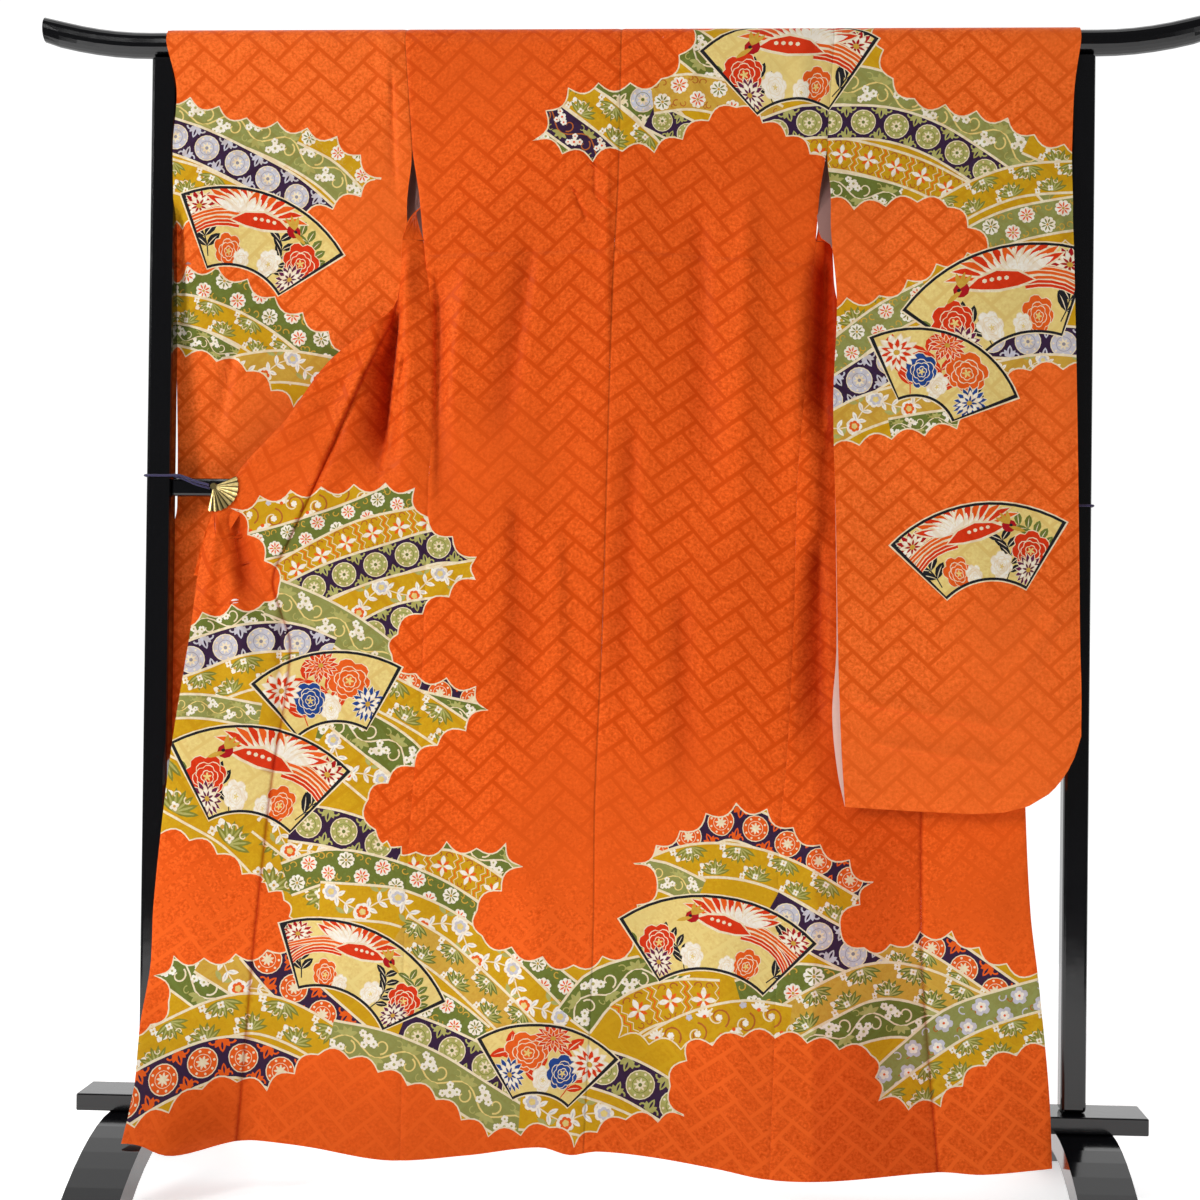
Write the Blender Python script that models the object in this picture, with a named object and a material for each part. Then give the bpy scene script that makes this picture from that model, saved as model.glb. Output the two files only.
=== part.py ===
"""A furisode, the long-sleeved kimono, hung by its sleeves on a lacquered kimono stand.

The viewer stands on the -Y side and sees the back of the garment. Its fronts are drawn out
through the openings under the sleeves and clipped to the posts, so all six hem panels show.
Every piece of cloth is a thin closed wall between two edge lines, which are short tables of
height, place and depth. Metres, +Z up, the floor at zero, the stand centred on the origin.
"""

import math

import bmesh
import bpy
from mathutils import Vector

# Driving dimensions of the stand

BAR_LENGTH = 1.700
BAR_RADIUS = 0.019
BAR_CENTRE_HEIGHT = 1.671
BAR_STRAIGHT_HALF = 0.690
BAR_TIP_RISE = 0.024
POST_SPACING = 1.336
POST_WIDTH = 0.036
CROSSBAR_HEIGHT = 1.019
CROSSBAR_WIDTH = 0.026
PLANK_LENGTH = 1.540
PLANK_DEPTH = 0.084
PLANK_THICKNESS = 0.0248
PLANK_UNDERSIDE = 0.1098
FOOT_WIDTH = 0.080
FOOT_CENTRE = 0.680
FOOT_HALF_DEPTH = 0.320
FOOT_SEAT_HALF = 0.045
FOOT_SEAT_HEIGHT = 0.1095
FOOT_TOE_HEIGHT = 0.012
FOOT_ARCH_HALF = 0.250
FOOT_ARCH_HEIGHT = 0.079
TOUCH_GAP = 0.0003

# Driving dimensions of the cloth

CLOTH_THICKNESS = 0.0018
CLOTH_RADIUS_ON_BAR = 0.0215
SEAM_GAP = 0.0003
LINING_BEHIND_EDGE = 0.0035
HEM_BASE = 0.060
SLEEVE_BASE = 0.570
ARMHOLE_FOOT = 1.510
SIDE_SEAM_TOP = 1.380
OKUMI_TOP = 1.300
BODY_ROW_SPACING = 0.044

# Levels of the rows of cloth, from the bar down; neighbours share them, so seams meet

SHOULDER_LEVELS = (1.671, 1.650, 1.630, 1.590, 1.550, 1.510)
UNDERARM_LEVELS = (1.467, 1.424, 1.380)
SLEEVE_LEVELS = SHOULDER_LEVELS + (1.465, 1.425, 1.395, 1.360, 1.320, 1.270, 1.200, 1.130, 1.060,
                                   0.990, 0.920, 0.850, 0.780, 0.720, 0.670, 0.630, 0.600, 0.582,
                                   0.570)

# Edge lines: height, place across, depth

CENTRE_SEAM = (
    # height, across
    (1.671, 0.004), (1.470, 0.002), (1.320, -0.004), (1.100, -0.008),
    (0.800, -0.013), (0.570, -0.020), (0.360, -0.020), (0.060, -0.030),
)
BACK_DEPTH = (
    # height, depth: the backs swing clear of the crossbar and the base plank
    (1.671, -0.0215), (1.380, -0.0235), (1.040, -0.0320),
    (0.600, -0.0450), (0.110, -0.0600), (0.060, -0.0610),
)
SLEEVE_SEAM_LEFT = ((1.671, -0.3110), (1.600, -0.3055), (1.510, -0.2985))
SLEEVE_SEAM_RIGHT = ((1.671, 0.3105), (1.600, 0.3062), (1.510, 0.3025))
UNDERARM_LEFT = ((1.510, -0.2985), (1.450, -0.2880), (1.380, -0.2805))
UNDERARM_RIGHT = ((1.510, 0.3025), (1.450, 0.2930), (1.380, 0.2880))
SIDE_SEAM_LEFT = (
    (1.380, -0.2805), (1.246, -0.2640), (1.147, -0.2600), (1.037, -0.2670), (0.925, -0.2690),
    (0.704, -0.2740), (0.569, -0.2840), (0.408, -0.2910), (0.060, -0.2920),
)
SIDE_SEAM_RIGHT = (
    (1.380, 0.2880), (1.150, 0.2730), (1.035, 0.2650), (0.834, 0.2620),
    (0.639, 0.2540), (0.523, 0.2450), (0.322, 0.2420), (0.060, 0.2350),
)
OKUMI_SEAM_LEFT = (
    # height, across, depth
    (1.295, -0.3155, -0.0340), (1.250, -0.3320, -0.0335), (1.205, -0.3530, -0.0325),
    (1.100, -0.4010, -0.0320),
    (1.015, -0.4360, -0.0325), (0.950, -0.4660, -0.0345), (0.888, -0.4920, -0.0365),
    (0.845, -0.4840, -0.0375), (0.797, -0.4660, -0.0390), (0.724, -0.4700, -0.0410),
    (0.604, -0.4870, -0.0450), (0.484, -0.4990, -0.0485), (0.345, -0.5110, -0.0530),
    (0.060, -0.5280, -0.0610),
)
FRONT_EDGE_LEFT = (
    (1.380, -0.3100, -0.0340), (1.290, -0.3190, -0.0340), (1.245, -0.3650, -0.0330),
    (1.200, -0.4170, -0.0320), (1.115, -0.4790, -0.0305), (1.060, -0.5310, -0.0300),
    (0.989, -0.5790, -0.0300), (0.930, -0.5960, -0.0315), (0.887, -0.6040, -0.0330),
    (0.811, -0.6120, -0.0380), (0.626, -0.6380, -0.0440), (0.418, -0.6570, -0.0510),
    (0.323, -0.6600, -0.0530), (0.218, -0.6760, -0.0565), (0.149, -0.6850, -0.0590),
    (0.060, -0.6840, -0.0610),
)
OKUMI_SEAM_RIGHT = (
    (1.295, 0.3195, -0.0140), (1.250, 0.3320, -0.0160), (1.205, 0.3520, -0.0175),
    (1.100, 0.3960, -0.0215),
    (1.015, 0.4280, -0.0230), (0.930, 0.4450, -0.0275), (0.800, 0.4450, -0.0365),
    (0.559, 0.4450, -0.0455), (0.364, 0.4470, -0.0520), (0.284, 0.4520, -0.0550),
    (0.060, 0.4720, -0.0610),
)
FRONT_EDGE_RIGHT = (
    (1.380, 0.3120, -0.0120), (1.290, 0.3230, -0.0140), (1.245, 0.3650, -0.0155),
    (1.200, 0.4150, -0.0170), (1.115, 0.4750, -0.0195), (1.060, 0.5270, -0.0215), (1.000, 0.5690, -0.0215),
    (0.950, 0.5785, -0.0215), (0.890, 0.5820, -0.0265), (0.800, 0.5850, -0.0340),
    (0.572, 0.5920, -0.0450), (0.421, 0.6000, -0.0500), (0.324, 0.6120, -0.0530),
    (0.169, 0.6270, -0.0580), (0.060, 0.6320, -0.0610),
)
HEM = (
    # across, height: the left corner lies on the slope of the foot
    (-0.684, 0.0935), (-0.645, 0.0930), (-0.600, 0.0760), (-0.527, 0.0790), (-0.431, 0.0710),
    (-0.311, 0.0540), (-0.196, 0.0640), (-0.092, 0.0780), (-0.049, 0.0680), (-0.010, 0.0740),
    (0.068, 0.0680), (0.158, 0.0540), (0.235, 0.0400), (0.321, 0.0400), (0.474, 0.0570),
    (0.535, 0.0550), (0.632, 0.0660),
)
HEM_FADE_HEIGHT = 0.350
FOOT_SWING = (
    # height, forward: how the left corner of the hem slides forward on the foot
    (0.330, 0.000), (0.220, 0.014), (0.160, 0.040), (0.120, 0.075), (0.095, 0.105), (0.060, 0.105),
)
FOOT_SWING_FROM = -0.500
FOOT_SWING_FULL = -0.625

# The fronts behind the bar: from the neck to where they gather and pass under the sleeve

NECK_EDGE_LEFT = (
    (1.671, -0.1000, 0.0215), (1.650, -0.1000, 0.0225), (1.630, -0.1080, 0.0230),
    (1.590, -0.1360, 0.0235), (1.550, -0.1700, 0.0230), (1.510, -0.2075, 0.0215),
)
NECK_EDGE_RIGHT = (
    (1.671, 0.1080, 0.0215), (1.650, 0.1080, 0.0225), (1.630, 0.1160, 0.0230),
    (1.590, 0.1430, 0.0235), (1.550, 0.1760, 0.0230), (1.510, 0.2120, 0.0215),
)
SHOULDER_FRONT_DEPTH = ((1.671, 0.0215), (1.600, 0.0215), (1.510, 0.0185))
GATHER_LEFT = (
    # front edge across, depth, height; side edge across, depth, height
    (-0.2450, 0.0130, 1.470, -0.2975, 0.0085, 1.470),
    (-0.2780, -0.0020, 1.440, -0.2965, 0.0020, 1.440),
    (-0.2960, -0.0230, 1.418, -0.2940, -0.0050, 1.420),
    (-0.3040, -0.0320, 1.400, -0.2880, -0.0150, 1.400),
)
GATHER_RIGHT = (
    (0.2480, 0.0200, 1.480, 0.3000, 0.0075, 1.475),
    (0.2800, 0.0180, 1.450, 0.2985, -0.0030, 1.445),
    (0.2980, 0.0120, 1.425, 0.2955, -0.0110, 1.420),
    (0.3070, -0.0010, 1.400, 0.2915, -0.0180, 1.400),
)
GATHER_STEPS = 4

# Sleeves: height, outer edge, inner edge, depth of the near wall

SLEEVE_LEFT_NEAR = (
    (1.671, -0.6640, -0.3110, -0.0215), (1.600, -0.6465, -0.3055, -0.0220),
    (1.510, -0.6465, -0.2985, -0.0225), (1.440, -0.6465, -0.3060, -0.0155),
    (1.380, -0.6465, -0.3065, -0.0080), (1.326, -0.6465, -0.3150, -0.0030),
    (1.200, -0.6460, -0.3180, 0.0100), (1.060, -0.6445, -0.3170, 0.0195),
    (0.850, -0.6450, -0.3190, 0.0205), (0.570, -0.6450, -0.3200, 0.0220),
)
SLEEVE_LEFT_FAR = (
    (1.671, -0.6640, -0.3110, 0.0215), (1.600, -0.6480, -0.3055, 0.0215),
    (1.510, -0.6465, -0.2985, 0.0185), (1.440, -0.6465, -0.3060, 0.0195),
    (1.380, -0.6465, -0.3065, 0.0215), (1.326, -0.6465, -0.3150, 0.0230),
    (1.200, -0.6460, -0.3180, 0.0255), (1.060, -0.6445, -0.3170, 0.0285),
    (0.850, -0.6450, -0.3190, 0.0290), (0.570, -0.6450, -0.3200, 0.0300),
)
SLEEVE_RIGHT_NEAR = (
    (1.671, 0.6640, 0.3105, -0.0215), (1.600, 0.6545, 0.3062, -0.0220),
    (1.510, 0.6500, 0.3025, -0.0225), (1.450, 0.6500, 0.3080, -0.0320),
    (1.390, 0.6510, 0.3090, -0.0400), (1.292, 0.6530, 0.3180, -0.0455),
    (1.148, 0.6560, 0.3140, -0.0530), (0.980, 0.6590, 0.3190, -0.0590),
    (0.790, 0.6620, 0.3240, -0.0630), (0.654, 0.6640, 0.3300, -0.0645),
    (0.570, 0.6640, 0.3360, -0.0655),
)
SLEEVE_RIGHT_FAR = (
    (1.671, 0.6640, 0.3105, 0.0215), (1.600, 0.6480, 0.3062, 0.0215),
    (1.510, 0.6430, 0.3025, 0.0185), (1.440, 0.6420, 0.3085, -0.0140),
    (1.400, 0.6430, 0.3090, -0.0270), (1.360, 0.6500, 0.3130, -0.0345),
    (1.292, 0.6525, 0.3185, -0.0405), (1.148, 0.6555, 0.3150, -0.0470),
    (0.980, 0.6585, 0.3190, -0.0520), (0.790, 0.6615, 0.3220, -0.0560),
    (0.700, 0.6635, 0.3170, -0.0575), (0.620, 0.6635, 0.3250, -0.0585),
    (0.570, 0.6635, 0.3360, -0.0590),
)
SLEEVE_FOOT = (
    # distance across from the centre, height: round at the outer corner
    (0.300, 0.5720), (0.427, 0.5660), (0.514, 0.5630), (0.560, 0.5660), (0.593, 0.5750),
    (0.625, 0.5950), (0.645, 0.6200), (0.657, 0.6450), (0.665, 0.6750),
)
SLEEVE_FADE_HEIGHT = 0.850
WRIST_OPENING_FOOT = 1.440
SLEEVE_SEAM_REACH = 0.016
SLEEVE_COLUMNS = (0.0, 0.14, 0.28, 0.42, 0.56, 0.69, 0.79, 0.87, 0.925, 0.965, 1.0)

# Folds: from top (across, height) to foot (across, height), half width, rise towards the viewer

BODY_FOLDS = (
    (-0.312, 1.330, -0.338, 1.030, 0.016, -0.011),
    (-0.286, 1.340, -0.302, 0.960, 0.022, 0.006),
    (-0.335, 1.215, -0.470, 0.905, 0.020, 0.008),
    (-0.372, 1.180, -0.420, 1.060, 0.022, -0.006),
    (-0.425, 1.150, -0.480, 1.060, 0.022, 0.004),
    (-0.560, 0.940, -0.515, 0.700, 0.016, 0.007),
    (-0.548, 0.950, -0.470, 0.800, 0.016, -0.005),
    (-0.583, 0.920, -0.570, 0.640, 0.018, -0.004),
    (-0.360, 0.960, -0.380, 0.300, 0.045, 0.005),
    (-0.450, 0.560, -0.455, 0.080, 0.040, -0.006),
    (-0.600, 0.560, -0.590, 0.200, 0.035, 0.005),
    (-0.200, 1.520, -0.150, 0.650, 0.045, 0.004),
    (-0.080, 1.480, -0.060, 0.420, 0.040, -0.004),
    (-0.220, 0.640, -0.235, 0.080, 0.040, -0.006),
    (-0.110, 0.520, -0.095, 0.080, 0.035, 0.007),
    (0.075, 1.600, 0.090, 0.700, 0.045, -0.004),
    (0.185, 1.560, 0.175, 0.560, 0.040, 0.004),
    (0.060, 0.560, 0.075, 0.080, 0.040, -0.006),
    (0.165, 0.520, 0.185, 0.080, 0.035, 0.006),
    (0.279, 1.330, 0.290, 0.800, 0.016, 0.006),
    (0.303, 1.180, 0.315, 0.820, 0.016, -0.005),
    (0.330, 0.560, 0.345, 0.080, 0.040, 0.006),
    (0.420, 0.520, 0.405, 0.080, 0.030, -0.004),
    (0.540, 0.520, 0.560, 0.080, 0.035, 0.006),
)
SLEEVE_FOLDS = (
    (-0.380, 1.600, -0.400, 0.900, 0.040, 0.003),
    (-0.500, 1.640, -0.480, 0.700, 0.050, -0.003),
    (-0.600, 1.600, -0.590, 0.750, 0.035, 0.003),
    (0.390, 1.560, 0.400, 0.800, 0.045, -0.003),
    (0.500, 1.500, 0.520, 0.650, 0.050, 0.003),
    (0.610, 1.520, 0.600, 0.720, 0.035, -0.003),
)
SHOULDER_RIPPLES = (
    # small creases that the sleeve seams and the neck pull over the bar
    (-0.340, 1.690, -0.332, 1.560, 0.012, 0.004),
    (0.100, 1.690, 0.112, 1.560, 0.014, 0.003),
    (0.270, 1.690, 0.262, 1.540, 0.014, 0.004),
)

# Collar: how far it shows past the gore's edge, and its width behind it, by height

COLLAR_LEG_WIDTH = 0.052
COLLAR_LEG_SLANT = 0.300
COLLAR_NECK_FOOT = 1.652
COLLAR_TAIL = (
    # height, past the edge, width behind the gore
    (1.240, 0.0015, 0.026), (1.190, 0.0015, 0.044), (1.115, 0.0018, 0.050), (1.050, 0.0022, 0.050),
    (0.990, 0.0030, 0.042), (0.930, 0.0040, 0.024), (0.889, 0.0060, 0.012),
)
COLLAR_TAIL_LEVELS = (1.240, 1.210, 1.180, 1.147, 1.115, 1.082, 1.050, 1.020, 0.990, 0.960, 0.925,
                      0.889)

# Clips and ties

CLIP_FAN_RADIUS = 0.037
CLIP_JAW_RADIUS = 0.030
CLIP_RIB_COUNT = 10
CLIP_RIB_RISE = 0.0014
CLIP_PLATE = 0.0016
CLIP_GRIP_GAP = 0.0009
CLIP_FAN_FROM = 25.0
CLIP_FAN_TO = -103.0
CLIP_PIVOT_RADIUS = 0.005
CLIP_ACROSS = 0.582
CLIP_HEIGHT_LEFT = 1.0190
CLIP_HEIGHT_RIGHT = 1.0080
TIE_RADIUS = 0.0018


def material(name, colour, roughness, metallic=0.0):
    """A plain finish with a colour, a roughness and a metal share."""
    finish = bpy.data.materials.new(name)
    finish.use_nodes = True
    shader = finish.node_tree.nodes["Principled BSDF"]
    shader.inputs["Base Color"].default_value = (*colour, 1.0)
    shader.inputs["Roughness"].default_value = roughness
    shader.inputs["Metallic"].default_value = metallic
    return finish


def place(name, mesh, finish, smooth_angle=35.0):
    """Put a mesh in the scene as one named piece."""
    mesh.materials.append(finish)
    mesh.shade_smooth()
    mesh.set_sharp_from_angle(angle=math.radians(smooth_angle))
    piece = bpy.data.objects.new(name, mesh)
    bpy.context.collection.objects.link(piece)
    return piece


def finished_mesh(name, shape):
    """Turn a bmesh into a mesh whose faces point out."""
    bmesh.ops.recalc_face_normals(shape, faces=shape.faces)
    if shape.calc_volume(signed=True) < 0:
        bmesh.ops.reverse_faces(shape, faces=shape.faces)
    mesh = bpy.data.meshes.new(name)
    shape.to_mesh(mesh)
    shape.free()
    return mesh


def smooth_value(rows, where, column):
    """Read one column of a table at a place, along a smooth curve through its rows."""
    ordered = sorted(rows)
    if where <= ordered[0][0]:
        return ordered[0][column]
    if where >= ordered[-1][0]:
        return ordered[-1][column]
    index = 0
    while ordered[index + 1][0] < where:
        index += 1
    low, high = ordered[index], ordered[index + 1]
    before = ordered[max(index - 1, 0)]
    after = ordered[min(index + 2, len(ordered) - 1)]
    span = high[0] - low[0]
    slope_low = (high[column] - before[column]) / (high[0] - before[0]) * span
    slope_high = (after[column] - low[column]) / (after[0] - low[0]) * span
    t = (where - low[0]) / span
    return ((2 * t**3 - 3 * t**2 + 1) * low[column] + (t**3 - 2 * t**2 + t) * slope_low
            + (3 * t**2 - 2 * t**3) * high[column] + (t**3 - t**2) * slope_high)


def straight_value(rows, where, column=1):
    """Read one column of a table at a place, along straight lines between its rows."""
    ordered = sorted(rows)
    if where <= ordered[0][0]:
        return ordered[0][column]
    for low, high in zip(ordered, ordered[1:]):
        if where <= high[0]:
            share = (where - low[0]) / (high[0] - low[0])
            return low[column] + share * (high[column] - low[column])
    return ordered[-1][column]


def ease(share):
    """Rise smoothly from 0 to 1."""
    share = min(max(share, 0.0), 1.0)
    return share * share * (3.0 - 2.0 * share)


def fold_rise(folds, across, height):
    """How far the folds at this place stand towards the viewer."""
    rise = 0.0
    for top_x, top_z, foot_x, foot_z, half_width, depth in folds:
        run_x, run_z = foot_x - top_x, foot_z - top_z
        length = math.hypot(run_x, run_z)
        along = ((across - top_x) * run_x + (height - top_z) * run_z) / length
        off = ((across - top_x) * run_z - (height - top_z) * run_x) / length
        ends = ease(along / (0.25 * length)) * ease((length - along) / (0.25 * length))
        rise += depth * ends * math.exp(-((off / half_width) ** 2))
    return rise


def foot_swing(across, height):
    """How far the left corner of the hem slides forward on the sloping foot."""
    share = ease((FOOT_SWING_FROM - across) / (FOOT_SWING_FROM - FOOT_SWING_FULL))
    return share * straight_value(FOOT_SWING, height)


def on_bar(across, angle, side):
    """A point of cloth lying on the bar, and the way it faces; side is -1 near, +1 far."""
    out = Vector((0.0, side * math.sin(angle), math.cos(angle)))
    return Vector((across, 0.0, BAR_CENTRE_HEIGHT)) + CLOTH_RADIUS_ON_BAR * out, out


def bar_rows(left, right, columns, side, steps=4):
    """Rows of cloth from the shoulder fold on top of the bar round to its side."""
    first = SEAM_GAP / 2 / CLOTH_RADIUS_ON_BAR
    rows = []
    for step in range(steps):
        angle = first + (math.pi / 2 - first) * step / steps
        rows.append([on_bar(left + (right - left) * column, angle, side) for column in columns])
    return rows


def hanging_rows(levels, columns, edge, folds, foot=None):
    """Rows of cloth that hang: edge gives a level's two ends, foot gives a lower edge's drop."""
    rows = []
    for level in levels:
        start, end = edge(level)
        row = []
        for column in columns:
            across = start[0] + (end[0] - start[0]) * column
            depth = start[1] + (end[1] - start[1]) * column
            height = level + (foot(across, level) if foot else 0.0)
            depth -= fold_rise(folds, across, height)
            row.append((Vector((across, depth, height)), Vector((0.0, 1.0, 0.0))))
        rows.append(row)
    return rows


def hem_drop(across, level):
    """How far a level of the body's cloth lies below or above its name, near the hem."""
    share = ease((HEM_FADE_HEIGHT - level) / (HEM_FADE_HEIGHT - HEM_BASE))
    return share * (smooth_value(HEM, across, 1) - HEM_BASE)


def sleeve_drop(across, level):
    """The same for the foot of a sleeve, round at its outer corner."""
    share = ease((SLEEVE_FADE_HEIGHT - level) / (SLEEVE_FADE_HEIGHT - SLEEVE_BASE))
    return share * (straight_value(SLEEVE_FOOT, abs(across)) - SLEEVE_BASE)


def cloth(name, rows, finish, thickness=CLOTH_THICKNESS):
    """Make a closed wall from rows of points, half of its thickness on each side of them."""
    shape = bmesh.new()
    faces = []
    for side in (-0.5, 0.5):
        faces.append([[shape.verts.new(point + out * thickness * side) for point, out in row]
                      for row in rows])
    near, far = faces
    row_count, column_count = len(rows), len(rows[0])
    for row in range(row_count - 1):
        for column in range(column_count - 1):
            for sheet in (near, far):
                shape.faces.new((sheet[row][column], sheet[row][column + 1],
                                 sheet[row + 1][column + 1], sheet[row + 1][column]))
    rim = [(0, column) for column in range(column_count)]
    rim += [(row, column_count - 1) for row in range(1, row_count)]
    rim += [(row_count - 1, column) for column in range(column_count - 2, -1, -1)]
    rim += [(row, 0) for row in range(row_count - 2, 0, -1)]
    for (row_a, column_a), (row_b, column_b) in zip(rim, rim[1:] + rim[:1]):
        shape.faces.new((near[row_a][column_a], near[row_b][column_b],
                         far[row_b][column_b], far[row_a][column_a]))
    bmesh.ops.triangulate(shape, faces=shape.faces)
    return place(name, finished_mesh(name, shape), finish, 60.0)


def facing(rows):
    """Give each point of a twisted stretch its own direction, square to the cloth."""
    turned = []
    for index, row in enumerate(rows):
        above = rows[max(index - 1, 0)]
        below = rows[min(index + 1, len(rows) - 1)]
        new_row = []
        for column, (point, _) in enumerate(row):
            left = row[max(column - 1, 0)][0]
            right = row[min(column + 1, len(row) - 1)][0]
            out = (right - left).cross(below[column][0] - above[column][0]).normalized()
            new_row.append((point, out))
        turned.append(new_row)
    return turned


def even(count):
    """Evenly spaced columns from 0 to 1."""
    return tuple(step / count for step in range(count + 1))


def body_levels():
    """Levels from the underarm down to the hem, shared by all six panels."""
    count = round((SIDE_SEAM_TOP - HEM_BASE) / BODY_ROW_SPACING)
    return [SIDE_SEAM_TOP - (SIDE_SEAM_TOP - HEM_BASE) * step / count for step in range(count + 1)]


def depth_of_back(level):
    """Depth of the back panels at a level."""
    return smooth_value(BACK_DEPTH, level, 1)


def side_line(level, seams):
    """The side of a back panel: sleeve seam, open underarm, side seam."""
    sleeve_seam, underarm, side_seam = seams
    if level >= ARMHOLE_FOOT:
        return straight_value(sleeve_seam, level)
    if level >= SIDE_SEAM_TOP:
        return straight_value(underarm, level)
    return smooth_value(side_seam, level, 1)


def seam_point(table, level):
    """A point on a seam that has its own depth."""
    return smooth_value(table, level, 1), smooth_value(table, level, 2)


def body_folds():
    """The folds of the body's cloth with the small creases at the bar."""
    return BODY_FOLDS + SHOULDER_RIPPLES


def swing_left_corner(rows):
    """Slide the cloth near the left foot forward."""
    for row in rows:
        for point, _ in row:
            point.y -= foot_swing(point.x, point.z)
    return rows


def make_back(name, seams, finish, left_side):
    """A back panel, from the shoulder fold to the hem, between the centre and a side."""
    half_gap = SEAM_GAP / 2

    def edge(level):
        centre = smooth_value(CENTRE_SEAM, level, 1)
        side = side_line(level, seams)
        depth = depth_of_back(level)
        if left_side:
            return (side + half_gap, depth), (centre - half_gap, depth)
        return (centre + half_gap, depth), (side - half_gap, depth)

    columns = even(9)
    (left, _), (right, _) = edge(BAR_CENTRE_HEIGHT)
    rows = bar_rows(left, right, columns, -1)
    levels = list(SHOULDER_LEVELS + UNDERARM_LEVELS) + body_levels()[1:]
    rows += hanging_rows(levels, columns, edge, body_folds(), hem_drop)
    return cloth(name, rows, finish)


def gather_rows(top_row, keys, foot_row, columns):
    """The gathered stretch of a front between two rows, through the key rows."""
    ends = [(top_row[0][0], top_row[-1][0])]
    ends += [(Vector((xa, ya, za)), Vector((xb, yb, zb))) for xa, ya, za, xb, yb, zb in keys]
    ends.append((foot_row[0][0], foot_row[-1][0]))
    rows = []
    for index in range(len(ends) - 1):
        before, low = ends[max(index - 1, 0)], ends[index]
        high, after = ends[index + 1], ends[min(index + 2, len(ends) - 1)]
        for step in range(1, GATHER_STEPS + 1):
            if index == len(ends) - 2 and step == GATHER_STEPS:
                break
            t = step / GATHER_STEPS
            pair = []
            for side in (0, 1):
                slope_low = (high[side] - before[side]) / 2
                slope_high = (after[side] - low[side]) / 2
                pair.append((2 * t**3 - 3 * t**2 + 1) * low[side] + (t**3 - 2 * t**2 + t) * slope_low
                            + (3 * t**2 - 2 * t**3) * high[side] + (t**3 - t**2) * slope_high)
            rows.append([(pair[0].lerp(pair[1], column), Vector((0.0, 1.0, 0.0)))
                         for column in columns])
    return rows


def make_front(name, neck_edge, seams, gather, okumi_seam, front_edge, finish, left_side):
    """A front: over the shoulder behind the bar, gathered under the sleeve, then spread out."""
    half_gap = SEAM_GAP / 2
    inward = 1.0 if left_side else -1.0
    columns = even(7)

    def shoulder_edge(level):
        neck_x, neck_y = seam_point(neck_edge, level)
        side = straight_value(seams[0], level)
        return (neck_x - inward * half_gap, neck_y), \
            (side + inward * half_gap, straight_value(SHOULDER_FRONT_DEPTH, level))

    def spread_edge(level):
        outer = okumi_seam if level < OKUMI_TOP else front_edge
        outer_x, outer_y = seam_point(outer, level)
        side = smooth_value(seams[2], level, 1)
        return (outer_x + inward * half_gap, outer_y), (side - inward * half_gap, depth_of_back(level))

    (neck, _), (side, _) = shoulder_edge(BAR_CENTRE_HEIGHT)
    shoulder = hanging_rows(SHOULDER_LEVELS, columns, shoulder_edge, ())
    spread = hanging_rows(body_levels(), columns, spread_edge, BODY_FOLDS, hem_drop)
    middle = gather_rows(shoulder[-1], gather, spread[0], columns)
    turned = facing([shoulder[-1]] + middle + [spread[0]])
    if turned[0][0][1].y < 0:
        turned = [[(point, -out) for point, out in row] for row in turned]
    spread_out = -1.0 if turned[-1][0][1].y < 0 else 1.0
    for row in spread:
        for column, (point, out) in enumerate(row):
            row[column] = (point, out * spread_out)
    rows = bar_rows(neck, side, columns, 1) + shoulder + turned[1:-1] + spread
    return cloth(name, swing_left_corner(rows) if left_side else rows, finish)


def make_okumi(name, okumi_seam, front_edge, finish, left_side):
    """A front gore, from its narrow top at the collar to the hem."""
    half_gap = SEAM_GAP / 2
    inward = 1.0 if left_side else -1.0

    def edge(level):
        edge_x, edge_y = seam_point(front_edge, level)
        seam_x, seam_y = seam_point(okumi_seam, level)
        return (edge_x, edge_y), (seam_x - inward * half_gap, seam_y)

    levels = [level for level in body_levels() if level < OKUMI_TOP]
    rows = hanging_rows(levels, even(5), edge, BODY_FOLDS, hem_drop)
    return cloth(name, swing_left_corner(rows) if left_side else rows, finish)


def close_sleeve(rows, near_table, far_table, far):
    """Bring a sleeve's walls together at the foot and at the wrist edge below its opening."""
    side = 1.0 if far else -1.0
    sewn = side * (CLOTH_THICKNESS + SEAM_GAP) / 2
    for row, level in zip(rows, SLEEVE_LEVELS):
        middle = (smooth_value(near_table, level, 3) + smooth_value(far_table, level, 3)) / 2
        outer = row[-1][0].x
        for point, _ in row:
            wrist = 1.0 - ease(abs(outer - point.x) / SLEEVE_SEAM_REACH)
            wrist *= ease((WRIST_OPENING_FOOT - level) / 0.040)
            foot = 1.0 - ease((level - SLEEVE_BASE) / SLEEVE_SEAM_REACH)
            share = max(wrist, foot)
            point.y += share * (middle + sewn - point.y)
    return rows


def make_sleeve_wall(name, near_table, far_table, far, finish):
    """One wall of a sleeve, from the shoulder fold to the closed foot."""
    table = far_table if far else near_table
    side = 1 if far else -1
    inward = 1.0 if table[0][1] < 0 else -1.0
    half_gap = SEAM_GAP / 2

    def edge(level):
        outer = smooth_value(table, level, 1)
        inner = smooth_value(table, level, 2)
        if level >= ARMHOLE_FOOT:
            seam = SLEEVE_SEAM_LEFT if inward > 0 else SLEEVE_SEAM_RIGHT
            inner = straight_value(seam, level)
        depth = smooth_value(table, level, 3)
        return (inner - inward * half_gap, depth), (outer, depth)

    (inner, _), (outer, _) = edge(BAR_CENTRE_HEIGHT)
    rows = bar_rows(inner, outer, SLEEVE_COLUMNS, side)
    folds = () if far else SLEEVE_FOLDS + SHOULDER_RIPPLES
    hanging = hanging_rows(SLEEVE_LEVELS, SLEEVE_COLUMNS, edge, folds, sleeve_drop)
    rows += close_sleeve(hanging, near_table, far_table, far)
    return cloth(name, rows, finish)


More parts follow.
